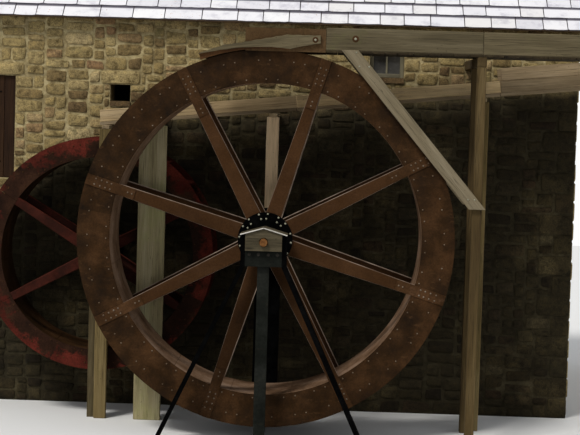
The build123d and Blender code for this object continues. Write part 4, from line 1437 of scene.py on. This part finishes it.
def hub_bolts(wheel, rows, aside):
    pile = Pile()
    for y, way in ((wheel.front - HUB_PLATE, -1), (wheel.back + HUB_PLATE, 1)):
        for angle in wheel.spoke_angles():
            for radius in rows:
                for side in (-aside, aside):
                    bolt(pile, wheel.at(radius, angle, y, side), (0, way, 0), *HUB_BOLT)
    pile.piece(f"{wheel.body}_hub_bolts", pale_bolts, "grey_steel", body=wheel.body, smooth=True)


wheel_bolts(big, "big_wheel_straps", rusty_bolts, "weathered_steel")
wheel_bolts(red, None, strap_steel, "red_steel")
hub_bolts(big, HUB_ROWS, HUB_ASIDE)
hub_bolts(red, RED_HUB_ROWS, RED_HUB_ASIDE)

# %% [markdown]
# ## Bearing and its cover
#
# The front journal turns in a block on a steel stand, under a little board house that keeps the
# water out. The stand keeps its solids. The house is made of real boards, with a round hole that
# shows the end of the shaft.

# %% Bearing stand
dress(saddle_steel, "bearing_column")
dress(black_paint, "bearing_uprights", "bearing_legs", "rear_bearing_post")
dress(grey_iron, "front_bearing", "rear_bearing", "red_front_bearing", "wall_bearings")
prop_wood = timber(
    "prop_timber", (0.042, 0.030, 0.013), (0.082, 0.062, 0.030), (0.150, 0.122, 0.070), 0.3, "Z")
dress(prop_wood, "red_bearing_post")

box_low, box_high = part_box("cover_box")
top_low, top_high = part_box("cover_roof")
BOARD, COVER_EAVES, SHAFT_GAP, JOURNAL = 0.022, 0.100, 0.006, 0.0465
half = (box_high.x - box_low.x) / 2
peak = box_high.z - big.z
base = box_low.z - big.z
pile = Pile()
gable = [(-half, base), (half, base), (half, COVER_EAVES), (0, peak), (-half, COVER_EAVES)]
for y, tone in ((box_low.y, 0.95), (box_high.y - BOARD, 0.5)):
    slab(pile, gable, (big.x, y, big.z), BOARD, [round_hole(JOURNAL + SHAFT_GAP)], tone)
side_top = big.z + COVER_EAVES - 0.004
for x0 in (box_low.x, box_high.x - BOARD):
    block_of(pile, (x0, box_low.y + BOARD, box_low.z), (x0 + BOARD, box_high.y - BOARD, side_top), "Y")
pile.piece("cover_boards", cover_wood, "cover_timber", stands_for=("cover_box",))

boards, edges = Pile(), Pile()
reach = (top_high.x - top_low.x) / 2
fall = atan2(peak - COVER_EAVES, half)
EDGE_STRIP = 0.010
strip_back = top_low.y + EDGE_STRIP
for side in (-1, 1):
    for heap, y0, y1 in ((edges, top_low.y, strip_back), (boards, strip_back, top_high.y)):
        start = Vector((big.x + side * 0.002, (y0 + y1) / 2, top_high.z - 0.014))
        end = start + Vector((side * (reach - 0.004), 0, -reach * tan(fall)))
        beam(heap, start, end, (0, 1, 0), y1 - y0, 0.014, 0.9, chamfer=0.002, wander=0.001)
pale_edge = timber("cover_edge_timber", (0.26, 0.235, 0.200), (0.50, 0.475, 0.440), (0.72, 0.70, 0.68))
boards.piece("cover_roof_boards", cover_wood, "cover_timber", stands_for=("cover_roof",))
edges.piece("cover_roof_edges", pale_edge, "cover_timber")

# %% Bolts of the stand
COLUMN_BOLTS, BELOW_TOP, STAND_BOLT = (-0.17, -0.06, 0.06, 0.17), 0.045, (0.014, 0.011, 6)
COLUMN_WASHER, CORNER_WASHER = 0.022, 0.024
pile = Pile()


def corner_bolts(low, high, x, z, y, way, share):
    """Four bolts round x and z, on the face at y that looks the way given."""
    for aside in (-share, share):
        for above in (-share, share):
            place = (x + aside * (high.x - low.x), y, z + above * (high.z - low.z))
            bolt(pile, place, (0, way, 0), *STAND_BOLT, CORNER_WASHER)


column_low, column_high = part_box("bearing_column")
for x in COLUMN_BOLTS:
    for y, way in ((column_low.y, -1), (column_high.y, 1)):
        bolt(pile, (big.x + x, y, column_high.z - BELOW_TOP), (0, way, 0), *STAND_BOLT, COLUMN_WASHER)
for name, wheel in (("rear_bearing", big), ("red_front_bearing", red)):
    low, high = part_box(name)
    corner_bolts(low, high, wheel.x, wheel.z, high.y, 1, 0.36)
for low, high in islands("wall_bearings"):
    corner_bolts(low, high, (low.x + high.x) / 2, (low.z + high.z) / 2, low.y, -1, 0.38)
pile.piece("stand_bolts", grey_iron, "grey_steel", smooth=True)

# %% [markdown]
# ## Upper launder
#
# A launder is a wooden trough. This one brings water over the big wheel's crown. Its sides are
# single wide boards in three lengths, its floor is short cross boards, and it stands on two trestles
# with a long brace up to its end.

# %% Launder boards
side_boxes = islands("upper_launder_sides")
floor_low, floor_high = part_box("upper_launder_floor")
# the last number is where the floor's painted shadow gives way to its lit head end
SIDE_JOINTS, FLOOR_BOARD, LIT_FROM = (0.0, 0.40, 0.73, 1.0), 0.028, 3.6
pile = Pile()
for low, high in side_boxes:
    for a, b in zip(SIDE_JOINTS, SIDE_JOINTS[1:]):
        x0, x1 = low.x + (high.x - low.x) * a, low.x + (high.x - low.x) * b
        block_of(pile, (x0 + 0.002, low.y, low.z), (x1 - 0.002, high.y, high.z), "X", tone=0.2 + a,
                 chamfer=0.006, wander=0.003, step=0.3)
pile.piece("upper_launder_side_boards", weathered, "launder_timber", stands_for=("upper_launder_sides",))


def floor_boards(name, low, high, finish, stands_for=()):
    """Cross boards of random width, side by side from the lowest corner's x to the highest one's."""
    pile = Pile()
    x = low.x
    while x < high.x - 0.01:
        width = chance.uniform(0.12, 0.19)
        if high.x - (x + width) < 0.08:
            width = high.x - x
        middle, z = x + width / 2, low.z + FLOOR_BOARD / 2
        beam(pile, (middle, low.y + 0.002, z), (middle, high.y - 0.002, z), (1, 0, 0), width - 0.004,
             FLOOR_BOARD)
        x += width
    pile.piece(name, finish, "launder_timber", stands_for=stands_for)


# painted shadow: the floor is written near black where it lies in shade under the launder, and its head end
# past the split keeps a paler yellow-brown finish as painted light
painted_shade_boards = timber(
    "launder_floor_painted_shade_timber", (0.012, 0.008, 0.004), (0.030, 0.021, 0.010), (0.060, 0.044, 0.022), 0.3)
yellow_boards = timber(
    "launder_head_floor_timber", (0.120, 0.080, 0.026), (0.210, 0.155, 0.058), (0.300, 0.235, 0.105))
floor_boards("upper_launder_floor_boards", floor_low, Vector((LIT_FROM, *floor_high.yz)), painted_shade_boards,
             ("upper_launder_floor",))
floor_boards("upper_launder_head_floor_boards", Vector((LIT_FROM, *floor_low.yz)), floor_high,
             yellow_boards)

# %% Trestles and braces
pile = Pile()
for node, along in (("upper_launder_posts", "Z"), ("upper_launder_caps", "Y")):
    for low, high in islands(node):
        block_of(pile, low, high, along, chamfer=0.007, wander=0.003)
pile.piece("trestle_timbers", trestle_wood, "post_timber",
           stands_for=("upper_launder_posts", "upper_launder_caps"))

pile = Pile()
BRACE_WIDTH = 0.157
for low, high in islands("upper_launder_braces"):
    run, climb = high.x - low.x, high.z - low.z
    steep = (2 * climb / BRACE_WIDTH) ** 2 - 4
    cut = 2 * (sqrt(4 * run ** 2 + steep * (run ** 2 + climb ** 2)) - 2 * run) / steep
    outline = [(high.x - cut, low.z), (high.x, low.z), (low.x + cut, high.z), (low.x, high.z)]
    lean = -atan2(climb, run - cut)
    slab(pile, outline, (0, low.y, 0), high.y - low.y, turn=lean, chamfer=0.005)
    print("brace cut", round(cut, 3), "m long at its ends, y", round(low.y, 3), round(high.y, 3))
pile.piece("launder_braces", brace_wood, "launder_timber", stands_for=("upper_launder_braces",))

# %% [markdown]
# ## Chute and splash board
#
# The launder's last metre is a steel chute, smooth and brown, with a curved lip over the crown. A
# rough plank with a waney lower edge is bolted outside it to keep the splash in.

# %% Chute and splash board
dress(chute_steel, "chute_sides", "chute_floor")
splash_low, splash_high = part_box("splash_board")
SPLASH_TOP = ((-0.865, 2.236), (-0.561, 2.344), (-0.304, 2.388), (0.196, 2.487), (0.601, 2.487))
SPLASH_FOOT = ((0.604, 2.389), (0.239, 2.311), (0.017, 2.330), (-0.401, 2.311), (-0.865, 2.222))


def roughened(line, amount):
    """More points along a line, each nudged inwards, for a split or waney edge."""
    result = []
    for (x0, y0), (x1, y1) in zip(line, line[1:]):
        count = max(1, int(abs(x1 - x0) / 0.06))
        for k in range(count):
            t = k / count
            result.append((x0 + (x1 - x0) * t, y0 + (y1 - y0) * t + (chance.uniform(0, amount) if k else 0)))
    return result + [line[-1]]


foot_line = roughened(tuple(reversed(SPLASH_FOOT)), 0.008)
head_line = [(x, y - 0.006 * (k % 2)) for k, (x, y) in enumerate(roughened(tuple(reversed(SPLASH_TOP)), 0.0))]
pile = Pile()
slab(pile, foot_line + head_line, (big.x, splash_low.y, big.z), splash_high.y - splash_low.y,
     tone=0.45, turn=0.12)
pile.piece("splash_plank", weathered, "launder_timber", stands_for=("splash_board",))
print("splash board y", round(splash_low.y, 3), round(splash_high.y, 3), "wheel front", round(big.front, 3))

# %% [markdown]
# ## Lip and timber bolts
#
# A rusty strip of plate closes the gap below the plank, bent to the wheel's curve and just clear of
# it. A few large bolts with washers hold the plank, the launder's front board and the braces.

# %% Lip and timber bolts
LIP_RADIUS, LIP_ENDS, LIP_THICK, LIP_STEPS = 2.312, (-0.84, 0.24), 0.008, 18
pile = Pile()
steps = [LIP_ENDS[0] + (LIP_ENDS[1] - LIP_ENDS[0]) * k / LIP_STEPS for k in range(LIP_STEPS + 1)]
arc = [(x, sqrt(LIP_RADIUS ** 2 - x ** 2)) for x in steps]
behind_plank = [(x, z + 0.02) for x, z in SPLASH_FOOT if x < LIP_ENDS[1]]
lip_front = splash_high.y - LIP_THICK - 0.001
slab(pile, arc + behind_plank, (big.x, lip_front, big.z), LIP_THICK, chamfer=0.001)
pile.piece("chute_lip", lip_steel, "weathered_steel")

heads, washers = Pile(), Pile()
for x, y, z, size in ((1.021, side_boxes[0][0].y, 2.456, 0.017), (0.539, splash_low.y, 2.430, 0.015)):
    bolt(washers, (big.x + x, y, big.z + z), (0, -1, 0), size * 2.4, 0.004, 14)
    bolt(heads, (big.x + x, y - 0.003, big.z + z), (0, -1, 0), size, 0.012, 6)
for low, high in islands("upper_launder_braces"):
    face, way = (low.y, -1) if low.y < (floor_low.y + floor_high.y) / 2 else (high.y, 1)
    for x, z in ((1.035, 2.294), (1.076, 2.126), (1.194, 2.126)):
        bolt(heads, (big.x + x, face, big.z + z), (0, way, 0), 0.011, 0.008)
    for aside in (-0.06, 0.02):
        bolt(heads, (high.x - 0.16 + aside, face, low.z + 0.12), (0, way, 0), 0.011, 0.008)
heads.piece("timber_bolts", pale_bolts, "grey_steel", smooth=True)
washers.piece("timber_bolt_washers", strap_steel, "grey_steel", smooth=True)

# %% [markdown]
# ## Lower launder
#
# A second trough falls to the left behind the big wheel and feeds the red one. Its boards are
# sheltered and still tan; those in shade behind the wheel are written paler as painted light. It lies
# on bearers over posts, one of them broad, green and mossy; that post and the middle post are also
# written pale as painted light.

# %% Lower launder
lower_low, lower_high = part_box("lower_launder_floor")
lower_sides = islands("lower_launder_sides")
LOWER_FALL, LOWER_BOARD, LOWER_SIDE, LOWER_HEAD, HEAD_FROM_HUB = 0.1015, 0.045, 0.200, 0.364, 2.900
FLOOR_ROWS = 3


def lower_base(x):
    """Height of the lower launder's underside."""
    return lower_low.z + (x - lower_low.x) * LOWER_FALL


def along_launder(pile, x0, x1, y, z, width, height, gap=0.003, chamfer=0.005):
    """A board along the lower launder, its middle z above the sloping underside."""
    start, end = (x0 + gap, y, lower_base(x0) + z), (x1 - gap, y, lower_base(x1) + z)
    beam(pile, start, end, (0, 1, 0), width, height, chamfer=chamfer)


head, shaded = Pile(), Pile()
joints = [lower_low.x, big.x + 0.30, big.x + HEAD_FROM_HUB, lower_high.x]
for low, high in lower_sides:
    middle = (low.y + high.y) / 2
    for x0, x1 in zip(joints, joints[1:]):
        along_launder(head if x1 == joints[-1] else shaded, x0, x1, middle,
                      (LOWER_BOARD + LOWER_SIDE) / 2, high.y - low.y, LOWER_SIDE - LOWER_BOARD - 0.002)
    along_launder(head, joints[-2], joints[-1], middle,
                  (LOWER_SIDE + LOWER_HEAD) / 2, high.y - low.y, LOWER_HEAD - LOWER_SIDE - 0.004)
head.piece("lower_launder_head_boards", sheltered, "launder_timber")
shaded.piece("lower_launder_side_boards", painted_light_launder_wood, "launder_timber", stands_for=("lower_launder_sides",))

pile = Pile()
for x0, x1 in zip(joints, joints[1:]):
    for k in range(FLOOR_ROWS):
        y = lower_low.y + (lower_high.y - lower_low.y) * (k + 0.5) / FLOOR_ROWS
        along_launder(pile, x0, x1, y, LOWER_BOARD / 2, (lower_high.y - lower_low.y) / FLOOR_ROWS - 0.003,
                      LOWER_BOARD, 0.002, 0.004)
pile.piece("lower_launder_floor_boards", sheltered, "launder_timber", stands_for=("lower_launder_floor",))

# %% Bearers and posts
BROAD = 0.30
pile = Pile()
for low, high in islands("lower_launder_bearers"):
    block_of(pile, low, high, "Y")
pile.piece("lower_launder_bearer_timbers", sheltered, "post_timber", stands_for=("lower_launder_bearers",))
posts, mossy, pale = Pile(), Pile(), Pile()
for low, high in islands("lower_launder_posts"):
    heap = mossy if high.x - low.x > BROAD else pale if low.z > 1 else posts
    block_of(heap, low, high, "Z", chamfer=0.008, wander=0.004, step=0.3)
posts.piece("lower_launder_post_timbers", post_wood, "post_timber", stands_for=("lower_launder_posts",))
mossy.piece("broad_post_timber", mossy_painted_light_post, "post_timber")
pale.piece("middle_post_timber", painted_light_post, "post_timber")
